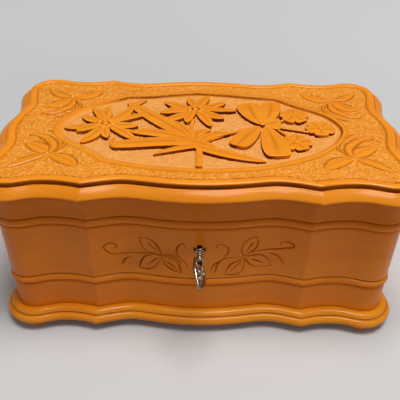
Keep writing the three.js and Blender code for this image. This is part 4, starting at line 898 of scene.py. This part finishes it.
blade = {"ground": 105.0, "edge": 0.22, "lightFrom": (0.75, 0.66)}


def petal(root, bend, tip, half, shape, heights, crown, vein, along, across):
    # a carved blade: shape is how early and how blunt it widens, heights are at its root and tip;
    # its sides are undercut and painted dark as shade, darkest at their foot and on the sides turned from the light
    early, blunt = shape
    root, bend, tip = (np.array(point, float) for point in (root, bend, tip))
    sides = np.concatenate([[-1, -1], np.linspace(-1, 1, across + 1), [1, 1, -1]])
    level = np.array([0, 1] + [2] * (across + 1) + [1, 0, 0])

    def place(column, row):
        u = (1 - np.cos(math.pi * column / along)) / 2
        widen = np.clip(u, 0, 1) ** early * np.clip(1 - u, 0, 1) ** blunt
        peak = (early / (early + blunt)) ** early * (blunt / (early + blunt)) ** blunt
        w = half * widen / peak
        spine = ((1 - u) ** 2)[:, None] * root + (2 * u * (1 - u))[:, None] * bend + (u ** 2)[:, None] * tip
        tangent = (2 * (1 - u))[:, None] * (bend - root) + (2 * u)[:, None] * (tip - bend)
        tangent /= np.maximum(np.linalg.norm(tangent, axis=1), 1e-9)[:, None]
        normal = np.stack([-tangent[:, 1], tangent[:, 0]], 1)
        s = sides[row]
        spot = spine + normal * (s * w)[:, None]
        share = w / max(half, 1e-9)
        furrow = np.exp(-(s / 0.16) ** 2) * np.sin(np.pi * np.clip(u, 0, 1)) ** 0.5
        which = level[row]
        edgeZ = heights[0] + (heights[1] - heights[0]) * u
        z = np.where(which == 2, edgeZ + crown * (1 - s ** 2) * share - vein * furrow,
                     np.where(which == 1, edgeZ - blade["edge"], blade["ground"]))
        shaded = np.clip(0.5 + (normal @ np.array(blade["lightFrom"])) * np.sign(s) * -0.9, 0, 1)
        deep = np.where(which == 2, 0.4 * furrow * (vein > 0), np.where(which == 1, 0.35, 0.6) + 0.65 * shaded)
        return np.stack([spot[:, 0], spot[:, 1], z], 1), {"recess": deep}

    bm = lattice(along, len(sides) - 1, place)
    closeEnds(bm)
    return bm


def dome(x, y, z, radius, rise):
    bm = bmesh.new()
    bm.verts.layers.float.new("recess")
    bmesh.ops.create_uvsphere(bm, u_segments=14, v_segments=8, radius=1)
    size = Matrix.Diagonal((radius / 1000, radius / 1000, rise / 1000, 1))
    bmesh.ops.transform(bm, matrix=Matrix.Translation(placed(x, y, z)) @ size, verts=bm.verts)
    recess = bm.verts.layers.float["recess"]
    # painted shade: the dome is painted darker towards its foot
    for vert in bm.verts:
        vert[recess] = min(0.9, max(0.0, (z / 1000 + rise * 0.0002 - vert.co.z) * 1600))
    return bm


flowers = {
    "edelweissLeft": {
        "middle": (-58.6, 0.4), "half": 3.0,
        "tips": [(-83.0, -4.8), (-74.5, -9.6), (-70.0, -22.6), (-55.5, -17.0), (-39.2, -18.8), (-38.6, -1.5),
                 (-34.1, 14.6), (-44.4, 21.5), (-59.6, 23.4), (-70.0, 22.4), (-74.5, 12.0)],
    },
    "edelweissRight": {
        "middle": (-4.0, 21.0), "half": 2.9,
        "tips": [(-20.5, 24.0), (-26.5, 16.0), (-23.4, 6.2), (-9.0, 3.6), (5.6, -0.6), (14.2, 9.6), (22.0, 20.6),
                 (15.4, 32.6), (5.0, 41.6), (-9.3, 38.6), (-24.1, 33.0)],
    },
    "blossoms": {"middles": [(58.4, 14.4, 0.3), (72.4, -1.6, 0.9), (55.6, -19.4, 0.1)], "reach": 8.9, "half": 4.3},
}


def buildFlowers():
    for name in ("edelweissLeft", "edelweissRight"):
        data = flowers[name]
        bm = bmesh.new()
        mx, my = data["middle"]
        for number, (tx, ty) in enumerate(data["tips"]):
            away = np.array([tx - mx, ty - my])
            length = np.hypot(*away)
            root = np.array([mx, my]) + away / length * 3.0
            sway = 0.09 * length * (-1) ** number
            bend = (root + (tx, ty)) / 2 + np.array([-away[1], away[0]]) / length * sway
            high = 0.28 * (number % 2)
            added(bm, petal(root, bend, (tx, ty), data["half"] + 0.4 * (number % 3), (0.55, 0.6),
                            (108.0 + high, 107.7 + high), 0.4, 0.3, 18, 10))
        for number in range(8):
            angle = 2 * math.pi * number / 7
            reach = 0 if number == 7 else 4.2
            added(bm, dome(mx + reach * math.cos(angle), my + reach * math.sin(angle), 108.1, 2.0, 1.0))
        makePiece(name, bm, "lid", paintedLitWood, (), creases["carving"])
    bm = bmesh.new()
    data = flowers["blossoms"]
    for mx, my, start in data["middles"]:
        for number in range(5):
            angle = start + 2 * math.pi * number / 5
            way = np.array([math.cos(angle), math.sin(angle)])
            middle = np.array([mx, my])
            added(bm, petal(middle + way * 1.0, middle + way * 5, middle + way * data["reach"], data["half"],
                            (0.8, 0.28), (107.9, 107.7), 0.4, 0.22, 12, 8))
        added(bm, dome(mx, my, 107.9, 2.0, 1.0))
    makePiece("smallBlossoms", bm, "lid", paintedLitWood, (), creases["carving"])


foliage = {
    "gentianEye": (37.6, 2.6, 107.8, 1.6, 0.8),
    # root, bend, tip, half width, early and blunt, heights at root and tip
    "gentian": [
        ((36.6, 2.6), (32, 16), (30.0, 30.4), 8.2, (0.7, 0.2), (107.6, 108.2)),
        ((39.6, 3.4), (43.8, 17), (46.0, 32.6), 6.4, (0.6, 0.2), (107.6, 108.2)),
        ((35.8, 0.2), (28, -9), (20.6, -24.6), 6.8, (0.65, 0.24), (107.6, 108.0)),
        ((39.2, 0.6), (42.6, -14), (43.6, -36.0), 7.9, (0.7, 0.2), (107.6, 108.2)),
        ((38.4, 2.6), (43.6, 4.4), (48.4, 5.6), 8.4, (0.6, 0.35), (107.6, 107.9)),
    ],
    "leaves": [
        ((-3.0, -18.0), (-24, 4), (-48.6, 31.5), 5.6, (0.5, 0.6), (107.8, 107.6)),
        ((-3.0, -19.6), (-24, -7), (-42.0, -8.5), 4.6, (0.4, 0.45), (107.8, 107.5)),
        ((-1.0, -21.4), (-26, -18), (-51.5, -26.0), 5.2, (0.35, 0.28), (107.9, 107.9)),
        ((-0.6, -24.4), (-14, -26), (-27.0, -34.6), 2.5, (0.35, 0.7), (107.8, 107.4)),
        ((-4.0, -17.2), (-9.5, -4), (-18.4, 6.2), 2.9, (0.4, 0.6), (107.8, 107.9)),
        ((-5.6, -23.4), (14, -35), (36.0, -40.6), 3.6, (0.3, 0.55), (107.8, 107.4)),
        ((-1.4, -21.6), (-6.5, -8), (5.5, -6.5), 3.2, (0.4, 0.5), (107.8, 107.9)),
        ((-1.2, -21.8), (3, -9), (17.5, -9.5), 3.6, (0.4, 0.5), (107.8, 107.8)),
        ((-17.0, -19.6), (-4, -18.4), (9.0, -28.0), 4.6, (0.45, 0.55), (107.9, 107.8)),
        ((-50.8, -15.5), (-52.6, -21), (-49.5, -28.2), 2.0, (0.7, 0.5), (107.2, 107.4)),
        ((-44.5, 13), (-50, 26), (-36.5, 36.0), 2.6, (0.7, 0.5), (107.2, 107.2)),
    ],
    "stems": [
        ((-1.6, -22.0), (-0.6, -34), (-1.0, -47.5), 1.9, (0.12, 0.06), (107.5, 107.8)),
        ((-3.6, -20.0), (-8, -8), (-5.0, 9.0), 1.2, (0.1, 0.1), (107.2, 107.3)),
        ((-5.0, -20.5), (-28, -10), (-53.0, -4.0), 1.1, (0.1, 0.1), (107.2, 107.2)),
        ((1.2, -20.0), (14, -9), (35.0, 0.6), 0.95, (0.1, 0.1), (107.1, 107.3)),
        ((42.0, 1.2), (52, -1), (66.0, -6.0), 0.9, (0.1, 0.1), (107.1, 107.2)),
        ((45.0, -1.0), (50, -8), (53.0, -14.0), 0.8, (0.1, 0.1), (107.1, 107.2)),
        ((46.0, 4.5), (50, 8), (53.0, 11.5), 0.8, (0.1, 0.1), (107.1, 107.2)),
    ],
}


def buildFoliage():
    # crown and vein: how far a blade swells, and how deep the cut along its middle is
    for name, title, crown, vein in (("gentian", "broadPetals", 0.35, 0.3),
                                     ("leaves", "fannedLeaves", 0.55, 0.35), ("stems", "cutStems", 0.45, 0)):
        bm = bmesh.new()
        for laid in foliage[name]:
            added(bm, petal(*laid, crown, vein, 24, 12))
        if name == "gentian":
            added(bm, dome(*foliage["gentianEye"]))
        makePiece(title, bm, "lid", paintedLitWood, (), creases["carving"])


# Key in the front lock

key = {
    "turn": 24.0, "z": 61.9, "collarStart": 0.7, "collar": 10.3, "collarRadius": 2.7, "rings": 5, "shank": 1.4,
    "inside": 6.4, "rim": 1.05, "bar": 18.8,
    "outline": [(0.2, 1.8), (1.7, 5.2), (4.8, 6.4), (9.4, 6.1), (13.8, 4.5), (17.3, 2.3), (19.0, 0.3)],
    # along the bow, across it, radius, turns, start, and which way round
    "scrolls": [(4.6, 2.7, 2.1, 1.15, 0.4, 1), (9.6, 2.6, 2.0, 1.1, 2.6, -1), (13.6, 1.6, 1.35, 1.0, 1.2, 1)],
    "beads": [(7.3, 0, 1.25), (12.0, 0, 1.0), (4.6, 2.7, 0.8), (4.6, -2.7, 0.8), (9.6, 2.6, 0.75),
              (9.6, -2.6, 0.75), (18.9, 0, 1.0), (2.0, 3.9, 0.9), (2.0, -3.9, 0.9)],
}


def tube(path, radii, sides):
    # a bar that follows a path in millimetres; the frame turns as little as it can along the way
    path = np.array(path, float)
    radii = np.broadcast_to(np.array(radii, float), (len(path),))
    tangent = np.gradient(path, axis=0)
    tangent /= np.linalg.norm(tangent, axis=1)[:, None]
    side = np.cross(tangent[0], (1.0, 0.02, 0.03))
    first = [side / np.linalg.norm(side)]
    for k in range(1, len(path)):
        side = first[-1] - tangent[k] * (first[-1] @ tangent[k])
        first.append(side / np.linalg.norm(side))
    first = np.array(first)
    second = np.cross(tangent, first)

    def place(column, row):
        angle = 2 * math.pi * row / sides
        ring = first[column] * np.cos(angle)[:, None] + second[column] * np.sin(angle)[:, None]
        return path[column] + ring * radii[column][:, None], {}

    bm = lattice(len(path) - 1, sides, place)
    closeEnds(bm)
    return bm


def spiral(middle, radius, turns, start):
    # a scroll in the bow's own plane, y along the key and z across, that winds in to a quarter of its radius
    t = np.linspace(0, 1, 22)
    angle = start + 2 * math.pi * turns * t
    reach = radius * (1 - 0.75 * t)
    return [(0.0, middle[0] + r * math.cos(a), middle[1] + r * math.sin(a)) for r, a in zip(reach, angle)]


def buildKey():
    wall = -frontY
    tipY = wall + key["inside"]
    bowY = wall - key["collarStart"] - key["collar"]
    # ringed collar and shank, spun about the key's axis
    profile = [(0, tipY), (key["shank"], tipY), (key["shank"], wall - 2.6)]
    pitch = key["collar"] / key["rings"]
    for ring in range(key["rings"]):
        start = wall - key["collarStart"] - ring * pitch
        big = key["collarRadius"] * (1 if ring in (0, key["rings"] - 1) else 0.9)
        for step in range(7):
            angle = math.pi * step / 6
            profile.append((key["shank"] + 0.35 + (big - key["shank"] - 0.35) * math.sin(angle),
                            start - pitch * 0.06 - pitch * 0.88 * (1 - math.cos(angle)) / 2))
    profile += [(key["shank"], bowY - 0.2), (key["shank"] * 0.9, bowY - 1.6), (0, bowY - 2.0)]
    bm = spun([(radius, y, 0) for radius, y in profile], (0, 0, 0), (0, 1, 0), 32)
    recess = bm.verts.layers.float.new("recess")
    for vert in bm.verts:
        reach = math.hypot(vert.co.x, vert.co.z) * 1000
        vert[recess] = min(1, max(0, (key["collarRadius"] - 0.35 - reach) / 0.9))
    added(bm, boxOf(-0.55, 0.55, wall + 4.2, tipY, -2.2, 0))
    # pierced bow: a pointed rim, three pairs of scrolls, a middle bar and beads
    for side in (1, -1):
        path = smoothLine([(0.0, bowY - y, side * z) for y, z in key["outline"]], 5)
        added(bm, tube(path, key["rim"] * (0.9 + 0.18 * np.sin(np.linspace(0, 14, len(path)))), 10))
        for y, z, radius, turns, start, way in key["scrolls"]:
            path = spiral((bowY - y, side * z), radius, turns * way * side, start * side)
            added(bm, tube(path, np.linspace(0.72, 0.5, len(path)), 8))
    added(bm, tube([(0, bowY - y, 0) for y in np.linspace(0, key["bar"], 14)],
                   0.55 + 0.3 * np.abs(np.sin(np.linspace(0, 9, 14))), 10))
    for y, z, radius in key["beads"]:
        ball = bmesh.new()
        bmesh.ops.create_uvsphere(ball, u_segments=14, v_segments=10, radius=radius / 1000)
        bmesh.ops.translate(ball, verts=ball.verts, vec=placed(0, bowY - y, z))
        added(bm, ball)
    turn = Matrix.Rotation(math.radians(-key["turn"]), 4, "Y")
    bmesh.ops.transform(bm, matrix=Matrix.Translation((0, 0, key["z"] / 1000)) @ turn, verts=bm.verts)
    makePiece("ornateKey", bm, "key", nickel, ["lock_key"], creases["key"])


# Inside: lined well, ring cushions, mirror frame

well = {"x": (-100.7, 37.7), "y": (-50.5, 50.5), "z": (25.0, 76.7), "thick": 1.15, "corner": 2.4, "swell": 0.5}
shelf = {"x": (-99.2, -55.2), "y": (-49.0, 49.0), "z": (26.2, 50.2), "corner": 2.6, "edge": 1.8}
roll = {"count": 4, "pitch": 11.0, "x": -99.2, "half": 5.35, "length": 98.0, "z": (50.5, 62.5), "along": 72,
        "sides": 36, "seed": 7}
mirrorFrame = {"x": 94.7, "y": 44.5, "back": 100.5, "face": 95.5, "margin": 6.4, "lip": 4.4, "glass": 98.5}


def roundedSquare(halfX, halfY, corner, steps=10, run=14):
    # points round a rectangle with rounded corners, and which of them stand at a corner
    spots, turns = [], []
    for quarter, (sx, sy) in enumerate(((1, -1), (1, 1), (-1, 1), (-1, -1))):
        start = math.pi / 2 * (quarter - 1)
        for step in range(steps + 1):
            angle = start + math.pi / 2 * step / steps
            spots.append((sx * (halfX - corner) + corner * math.cos(angle),
                          sy * (halfY - corner) + corner * math.sin(angle)))
            turns.append(1.0)
        a = np.array(spots[-1])
        nextX, nextY = ((1, 1), (-1, 1), (-1, -1), (1, -1))[quarter]
        angle = start + math.pi / 2
        b = np.array((nextX * (halfX - corner) + corner * math.cos(angle),
                      nextY * (halfY - corner) + corner * math.sin(angle)))
        for step in range(1, run):
            spots.append(tuple(a + (b - a) * step / run))
            turns.append(0.0)
    spots.append(spots[0])
    turns.append(turns[0])
    return np.array(spots), np.array(turns)


def wrapped(spanX, spanY, corner, rows, shape=None):
    # rows of how far inwards, share of the way out from the middle, height, and mark; from pole to pole
    middle = np.array([sum(spanX) / 2, sum(spanY) / 2])
    halfX, halfY = (spanX[1] - spanX[0]) / 2, (spanY[1] - spanY[0]) / 2
    levels = np.array(rows, float)
    rings = [roundedSquare(halfX - inset, halfY - inset, max(corner - inset, 0.3)) for inset in levels[:, 0]]
    spots, turns = np.array([ring[0] for ring in rings]), rings[0][1]

    def place(column, row):
        flat = middle + spots[row, column] * levels[row, 1][:, None]
        points = np.stack([flat[:, 0], flat[:, 1], levels[row, 2]], 1)
        # the corners of the walls are painted darker: painted shade
        deep = np.maximum(levels[row, 3], turns[column] * 0.35 * (levels[row, 1] == 1))
        if shape:
            points = shape(points, column, row)
        return points, {"recess": deep}

    bm = lattice(spots.shape[1] - 1, len(rows) - 1, place)
    closeEnds(bm)
    return bm


def shares(count):
    return [step / count for step in range(count + 1)]


def buildLining():
    low, high = well["z"]
    t = well["thick"]
    rows = [(t, share, low + t, 0) for share in shares(14)][:-1]
    # the crease where the floor meets the wall is painted dark: painted shade
    rows += [(t + 0.9, 1, low + t, 0.1), (t + 0.25, 1, low + t + 0.25, 0.5), (t, 1, low + t + 0.9, 0.1)]
    rows += [(t, 1, low + t + (high - low - t) * share, 0) for share in shares(16)[1:-1]]
    rows += [(t * 0.5 + t * 0.5 * math.cos(math.pi * s), 1, high - 0.6 + 0.6 * math.sin(math.pi * s), 0)
             for s in shares(6)]
    rows += [(0, 1, low + (high - low) * (1 - share), 0) for share in shares(8)[1:-1]]
    rows += [(0, 1, low + 0.4, 0), (0.4, 1, low, 0)] + [(0, 1 - share, low, 0) for share in shares(8)[1:]]
    floorRows, wallTop = 17, 17 + 15

    def shape(points, column, row):
        # the pile stands a little fuller between the corners, and ripples slightly
        x, y, z = points.T
        clear = np.clip((x + 52) / 12, 0, 1)
        ripple = np.sin(x * 0.19 + 1.1 * np.sin(y * 0.13)) * np.cos(y * 0.16 + 0.7 * np.sin(x * 0.11))
        onFloor = (row < 14) * clear * np.clip((37 - x) / 12, 0, 1) * np.clip((49 - abs(y)) / 12, 0, 1)
        z = z + onFloor * (0.45 + 0.3 * ripple)
        onWall = (row >= floorRows) * (row < wallTop) * clear * np.sin(np.pi * np.clip((z - 25) / 52, 0, 1))
        swell = well["swell"] * (0.7 + 0.4 * np.sin(z * 0.21 + (x + y) * 0.1))
        y = y - np.sign(y) * onWall * swell * (abs(y) > 48) * np.clip((36 - x) / 10, 0, 1)
        x = x - onWall * swell * (x > 36) * np.clip((49 - abs(y)) / 10, 0, 1)
        return np.stack([x, y, z], 1)

    bm = wrapped(well["x"], well["y"], well["corner"], rows, shape)
    piece = makePiece("velvetWell", bm, "case", redVelvet, ["velvet_lining"], creases["cloth"])


def buildRingShelf():
    low, high = shelf["z"]
    edge = shelf["edge"]
    rows = [(0, share, low, 0) for share in shares(6)[:-1]]
    # its lower rounded edge is painted a little darker: painted shade
    rows += [(edge * (1 - math.sin(math.pi / 2 * s)), 1, low + edge * (1 - math.cos(math.pi / 2 * s)), 0.2)
             for s in shares(4)]
    rows += [(0, 1, low + edge + (high - low - 2 * edge) * share, 0) for share in shares(10)[1:-1]]
    rows += [(edge * (1 - math.cos(math.pi / 2 * s)), 1, high - edge + edge * math.sin(math.pi / 2 * s), 0)
             for s in shares(6)]
    rows += [(edge, 1 - share, high, 0) for share in shares(12)[1:]]

    def shape(points, column, row):
        # covered card: the cloth pulls in a little between the edges
        x, y, z = points.T
        rise = np.sin(np.pi * np.clip((z - low) / (high - low), 0, 1))
        x = x - 0.35 * rise * (x > -56) * (0.8 + 0.3 * np.sin(y * 0.3))
        return np.stack([x, y, z], 1)

    bm = wrapped(shelf["x"], shelf["y"], shelf["corner"], rows, shape)
    piece = makePiece("ringShelfCushion", bm, "case", redVelvet, ["ring_shelf"], creases["cloth"])


def buildRingRolls():
    low, high = roll["z"]
    half, reach = roll["half"], roll["length"] / 2
    along, sides = roll["along"], roll["sides"]
    generator = np.random.default_rng(roll["seed"])
    for number in range(roll["count"]):
        middleX = roll["x"] + roll["pitch"] * (number + 0.5)
        phases = generator.uniform(0, 2 * math.pi, 6)

        def place(column, row):
            v = np.sin(math.pi * (column / along - 0.5))
            size = np.clip(1 - abs(v) ** 22, 0, 1) ** (1 / 3.2)
            angle = 2 * math.pi * row / sides - math.pi / 2
            c, s = np.cos(angle), np.sin(angle)
            across = np.sign(c) * abs(c) ** np.where(s > 0, 0.8, 0.45)
            upward = np.where(s > 0, s, -abs(s) ** 0.55)
            y = v * reach
            # cloth gathers at the ends, and lies in soft wrinkles along the roll
            gather = np.clip((abs(v) - 0.93) / 0.07, 0, 1)
            pleats = 0.3 * gather * np.cos(9 * angle + phases[0])
            wrinkle = 0.10 * (np.sin(y * 0.42 + phases[1] + 1.4 * np.sin(angle)) + np.sin(y * 0.93 + phases[2]))
            slack = 0.25 * np.sin(y * 0.11 + phases[3]) ** 2
            x = middleX + across * (half - 0.22 + wrinkle * (1 - abs(c)) * 0.5) * size * (1 - 0.03 * gather)
            height = (high - low) / 2
            z = (low + high) / 2 + upward * (height - 0.15) * size + (s > 0) * (wrinkle + pleats - slack) * size
            # the troughs of the gathered pleats are painted darker: painted shade
            return np.stack([x, y, np.clip(z, low, high + 0.1)], 1), {"recess": gather * 0.35 * (pleats < 0)}

        bm = lattice(along, sides, place)
        closeEnds(bm)
        piece = makePiece(f"ringRoll{number + 1}", bm, "case", redVelvet,
                          [f"ring_roll_{number + 1}"], creases["cloth"])


def buildMirrorFrame():
    # a rebated frame with a bead and a hollow, mitred at its corners
    m = mirrorFrame
    face, margin, inner = m["face"], m["margin"], m["margin"] + m["lip"]
    profile = [(0, m["back"], 0), (0, face + 1.6, 0), (0, face + 0.9, 0)]
    profile += [(1.2 - 1.2 * math.cos(math.pi * s), face + 0.9 - 0.9 * math.sin(math.pi * s), 0) for s in shares(8)]
    profile += [(2.7, face + 1.5, 0.9), (3.0, face + 1.5, 0.6)]
    profile += [(3.0 + (inner - 3.6) * s, face + 1.5 + 1.1 * math.sin(math.pi / 2 * s), 0) for s in shares(8)[1:]]
    profile += [(inner - 0.25, m["glass"] - 0.5, 0), (inner, m["glass"] - 0.25, 0.4),
                (inner, m["glass"] - 0.05, 0.6)]
    profile += [(margin - 0.05, m["glass"] - 0.05, 0), (margin - 0.05, m["back"], 0), (0, m["back"], 0)]
    levels = np.array(profile)
    corners = ((1, -1), (1, 1), (-1, 1), (-1, -1), (1, -1))
    run = 10

    def place(column, row):
        side, step = np.minimum(column // run, 3), column / run - np.minimum(column // run, 3)
        ends = np.array(corners, float)
        way = ends[side] + (ends[side + 1] - ends[side]) * step[:, None]
        inset = levels[row, 0]
        points = np.stack([way[:, 0] * (m["x"] - inset), way[:, 1] * (m["y"] - inset), levels[row, 1]], 1)
        mitre = 0.8 * (np.minimum(step, 1 - step) < 1e-6) * (row > 1)
        return points, {"recess": np.maximum(levels[row, 2], mitre * 0.5)}

    bm = lattice(4 * run, len(profile) - 1, place)
    bmesh.ops.recalc_face_normals(bm, faces=bm.faces)
    makePiece("mouldedMirrorFrame", bm, "lid", lengthwise, ["mirror_surround"], creases["fittings"])


def screwHead(x, y, z, radius, rise, upwards, turn, skirt=0.7):
    # a low dome with a driver slot, looking up or down
    marks = np.array([-1, -0.93, -0.75, -0.5, -0.26, -0.17, -0.14, 0, 0.14, 0.17, 0.26, 0.5, 0.75, 0.93, 1])
    rows = 12
    way = 1 if upwards else -1

    def place(column, row):
        a = marks[column]
        b = np.sin(math.pi * (row / rows - 0.5)) * np.sqrt(np.clip(1 - a * a, 0, 1))
        slotted = abs(a) < 0.15
        height = rise * (1 - (a * a + b * b) ** 2) - slotted * rise * 0.9
        px = radius * (a * math.cos(turn) - b * math.sin(turn))
        py = radius * (a * math.sin(turn) + b * math.cos(turn))
        return np.stack([x + px, y + py, z + way * height], 1), {"recess": np.where(slotted, 0.9, 0.0)}

    bm = lattice(len(marks) - 1, rows, place)
    skirted(bm, z - way * skirt)
    return bm


fixings = {
    "leafScrews": [(-7.6, 57.2), (0.0, 60.6), (7.6, 57.2)], "leafHead": 1.7, "lockHead": 1.5, "rise": 0.13,
    "lockScrews": [(-12.8, -54.8), (12.8, -54.8)], "strikeScrews": [(-10.2, -54.3), (10.2, -54.3)],
    "combScrews": [(91.65, -5.84), (91.65, 6.0), (91.65, 17.84)], "combHead": (1.8, 43.05, 1.4),
}


def buildFixings():
    onCase, onLid = bmesh.new(), bmesh.new()
    head, rise = fixings["leafHead"], fixings["rise"]
    for side in (-1, 1):
        for number, (x, y) in enumerate(fixings["leafScrews"]):
            spot = side * hinge["x"] + x
            added(onCase, screwHead(spot, y, case["rimZ"], head, rise, True, 0.5 + number * 1.3))
            added(onLid, screwHead(spot, y, lid["railZ"], head, rise, False, 1.1 + number * 0.9))
    for bm, screws, z, upwards, turn in ((onCase, "lockScrews", case["rimZ"], True, 0.9),
                                         (onLid, "strikeScrews", lid["railZ"], False, 0.3)):
        for number, (x, y) in enumerate(fixings[screws]):
            added(bm, screwHead(x, y, z, fixings["lockHead"], rise, upwards, turn + number))
    makePiece("caseScrews", onCase, "case", brass, (), creases["fittings"])
    makePiece("lidScrews", onLid, "lid", brass, (), creases["fittings"])
    radius, z, height = fixings["combHead"]
    for number, (x, y) in enumerate(fixings["combScrews"]):
        bm = screwHead(x, y, z + height - 0.5, radius, 0.5, True, 0.4 + number * 0.8, height - 0.5)
        makePiece(f"slottedCombScrew{number + 1}", bm, "case", steel, [f"comb_screw_{number + 1}"],
                  creases["fittings"])


music = {"x": 67.5, "z": 42.5, "y": (-11.0, 23.0), "radius": 7.0, "bore": 1.35, "notes": 22,
         "firstNote": -8.87, "pitch": 1.416, "perNote": 14, "beats": 48, "seed": 22, "pin": 0.21,
         "pinLength": 1.275, "divider": (38.0, 42.0, -50.5, 50.5, 25.0, 76.7)}


def buildMusic():
    start, end = music["y"]
    radius, bore = music["radius"], music["bore"]
    profile = [(bore, start), (5.6, start), (5.9, start + 0.5), (6.3, start + 0.5), (6.4, start),
               (radius - 0.15, start), (radius, start + 0.2), (radius, end - 0.2), (radius - 0.15, end),
               (6.4, end), (6.3, end - 0.5), (5.9, end - 0.5), (5.6, end), (bore, end)]
    bm = spun([(reach, y, 0) for reach, y in profile], (0, 0, 0), (0, 1, 0), 72, closed=True)
    bmesh.ops.recalc_face_normals(bm, faces=bm.faces)
    generator = np.random.default_rng(music["seed"])
    for note in range(music["notes"]):
        y = music["firstNote"] + music["pitch"] * note
        # pins of one note keep a beat's distance
        for beat in generator.choice(music["beats"], music["perNote"], replace=False):
            angle = 2 * math.pi * (beat + 0.25 * (note % 2)) / music["beats"]
            turn = Matrix.Rotation(angle, 4, "Y") @ Matrix.Translation((0, 0, (radius + 0.2) / 1000))
            shift = Matrix.Translation(placed(0, y, 0))
            bmesh.ops.create_cone(bm, cap_ends=True, segments=6, radius1=music["pin"] / 1000,
                                  radius2=music["pin"] * 0.8 / 1000, depth=music["pinLength"] / 1000,
                                  matrix=shift @ turn)
    bmesh.ops.translate(bm, verts=bm.verts, vec=(music["x"] / 1000, 0, music["z"] / 1000))
    makePiece("pinnedTuneCylinder", bm, "cylinder", brass, ["pinned_cylinder"], creases["fittings"])
    bm = boxOf(*music["divider"])
    upper = [edge for edge in bm.edges if all(vert.co.z > 0.07 for vert in edge.verts)]
    bmesh.ops.bevel(bm, geom=upper, offset=0.0012, offset_type="OFFSET", affect="EDGES", segments=4,
                    profile=0.5, material=-1)
    makePiece("roundedDivider", bm, "case", crosswise, ["bay_divider"], creases["fittings"])


buildWalls()
print("walls made")
buildBase()
buildRails()
fieldEdge = buildLidTop()
print("lid and base made")
buildField(fieldEdge)
buildFlowers()
buildFoliage()
print("carving made")
buildKey()
buildLining()
buildRingShelf()
buildRingRolls()
buildMirrorFrame()
print("inside made")
buildFixings()
buildMusic()


# Plain nodes that keep their shape get their finish

slotOf = {part["node"]: part["material_slot"] for part in frame["record"]["subparts"]}
for name, node in frame["nodes"].items():
    node.data.materials.clear()
    node.data.materials.append(finishOf[slotOf[name]])


# Camera, floor and light

camera = {"lens": 49.896, "sensor": 36, "tilt": 35.45, "roll": 0.8, "spot": (0.0, -0.29175, 0.2671),
          "shift": -0.001}


def buildCamera():
    tilt, roll = math.radians(camera["tilt"]), math.radians(camera["roll"])
    ahead = Vector((0, math.cos(tilt), -math.sin(tilt)))
    across, upwards = Vector((1, 0, 0)), Vector((0, math.sin(tilt), math.cos(tilt)))
    right = across * math.cos(roll) + upwards * math.sin(roll)
    up = upwards * math.cos(roll) - across * math.sin(roll)
    data = bpy.data.cameras.new("photoView")
    data.lens, data.sensor_width, data.shift_x = camera["lens"], camera["sensor"], camera["shift"]
    data.clip_start, data.clip_end = 0.01, 20
    eye = linked("photoView", data)
    eye.matrix_world = Matrix.Translation(camera["spot"]) @ Matrix((right, up, -ahead)).transposed().to_4x4()
    scene.camera = eye


studio = {
    "floor": colour(208, 209, 210), "cloud": colour(212, 211, 210), "far": colour(252, 251, 252),
    "bounce": colour(150, 140, 130), "glow": colour(86, 82, 80),
    "lamps": [  # name, spot, target, size, watts, warmth
        ("skyPanel", (0.15, -0.16, 1.3), (0, 0, 0.05), 0.6, 14.9, (1.0, 0.985, 0.96)),
        ("sidePanel", (1.1, -0.88, 0.34), (0, 0, 0.08), 0.08, 2.2, (1.0, 0.98, 0.95)),
        ("lowPanel", (-1.1, -0.88, 0.3), (0, 0, 0.08), 0.05, 0.9, (1.0, 0.98, 0.95)),
    ],
    "world": 0.165, "air": (0.93, 0.95, 1.0, 1),
}


def buildStudio():
    bm = bmesh.new()
    bmesh.ops.create_grid(bm, x_segments=1, y_segments=1, size=4)
    mesh = bpy.data.meshes.new("floor")
    bm.to_mesh(mesh)
    bm.free()
    ground = linked("floor", mesh)
    f = Finish("paleFloor")
    cloud = f.noise(3.0, 2.0, 0.5)
    seen, mirrored, through = (f.node("ShaderNodeLightPath", {}, {}, "Is " + kind + " Ray")
                               for kind in ("Camera", "Glossy", "Transmission"))
    seen = (seen + mirrored + through).clamped()
    tone = f.mix(cloud * 0.2, studio["floor"], studio["cloud"])
    spot = f.node("ShaderNodeTexCoord", {}, {}, "Object")
    reach = f.node("ShaderNodeVectorMath", {"operation": "LENGTH"}, {0: spot}, "Value")
    # further off it turns paler, as a backdrop that is lit on its own
    tone = f.mix(((reach - 0.22) * 1.6).clamped(), tone, studio["far"])
    # the floor throws less light back onto the box than its own tone would
    glow = f.mix(seen * ((reach - 0.36) * 1.6).clamped(), colour(0, 0, 0), studio["glow"])
    mesh.materials.append(f.done(Base_Color=f.mix(seen, studio["bounce"], tone), Roughness=0.8,
                                 Specular_IOR_Level=0.2, Emission_Color=glow, Emission_Strength=1.0))
    for name, spot, target, size, watts, tint in studio["lamps"]:
        data = bpy.data.lights.new(name, "AREA")
        data.shape, data.size, data.energy, data.color = "SQUARE", size, watts, tint
        lamp = linked(name, data)
        lamp.location = spot
        lamp.rotation_euler = (Vector(target) - Vector(spot)).to_track_quat("-Z", "Y").to_euler()
    world = bpy.data.worlds.new("studio")
    world.use_nodes = True
    scene.world = world
    backdrop = world.node_tree.nodes["Background"]
    backdrop.inputs["Color"].default_value = studio["air"]
    backdrop.inputs["Strength"].default_value = studio["world"]


buildCamera()
buildStudio()
scene.view_settings.view_transform = "Standard"

print("scene ready")
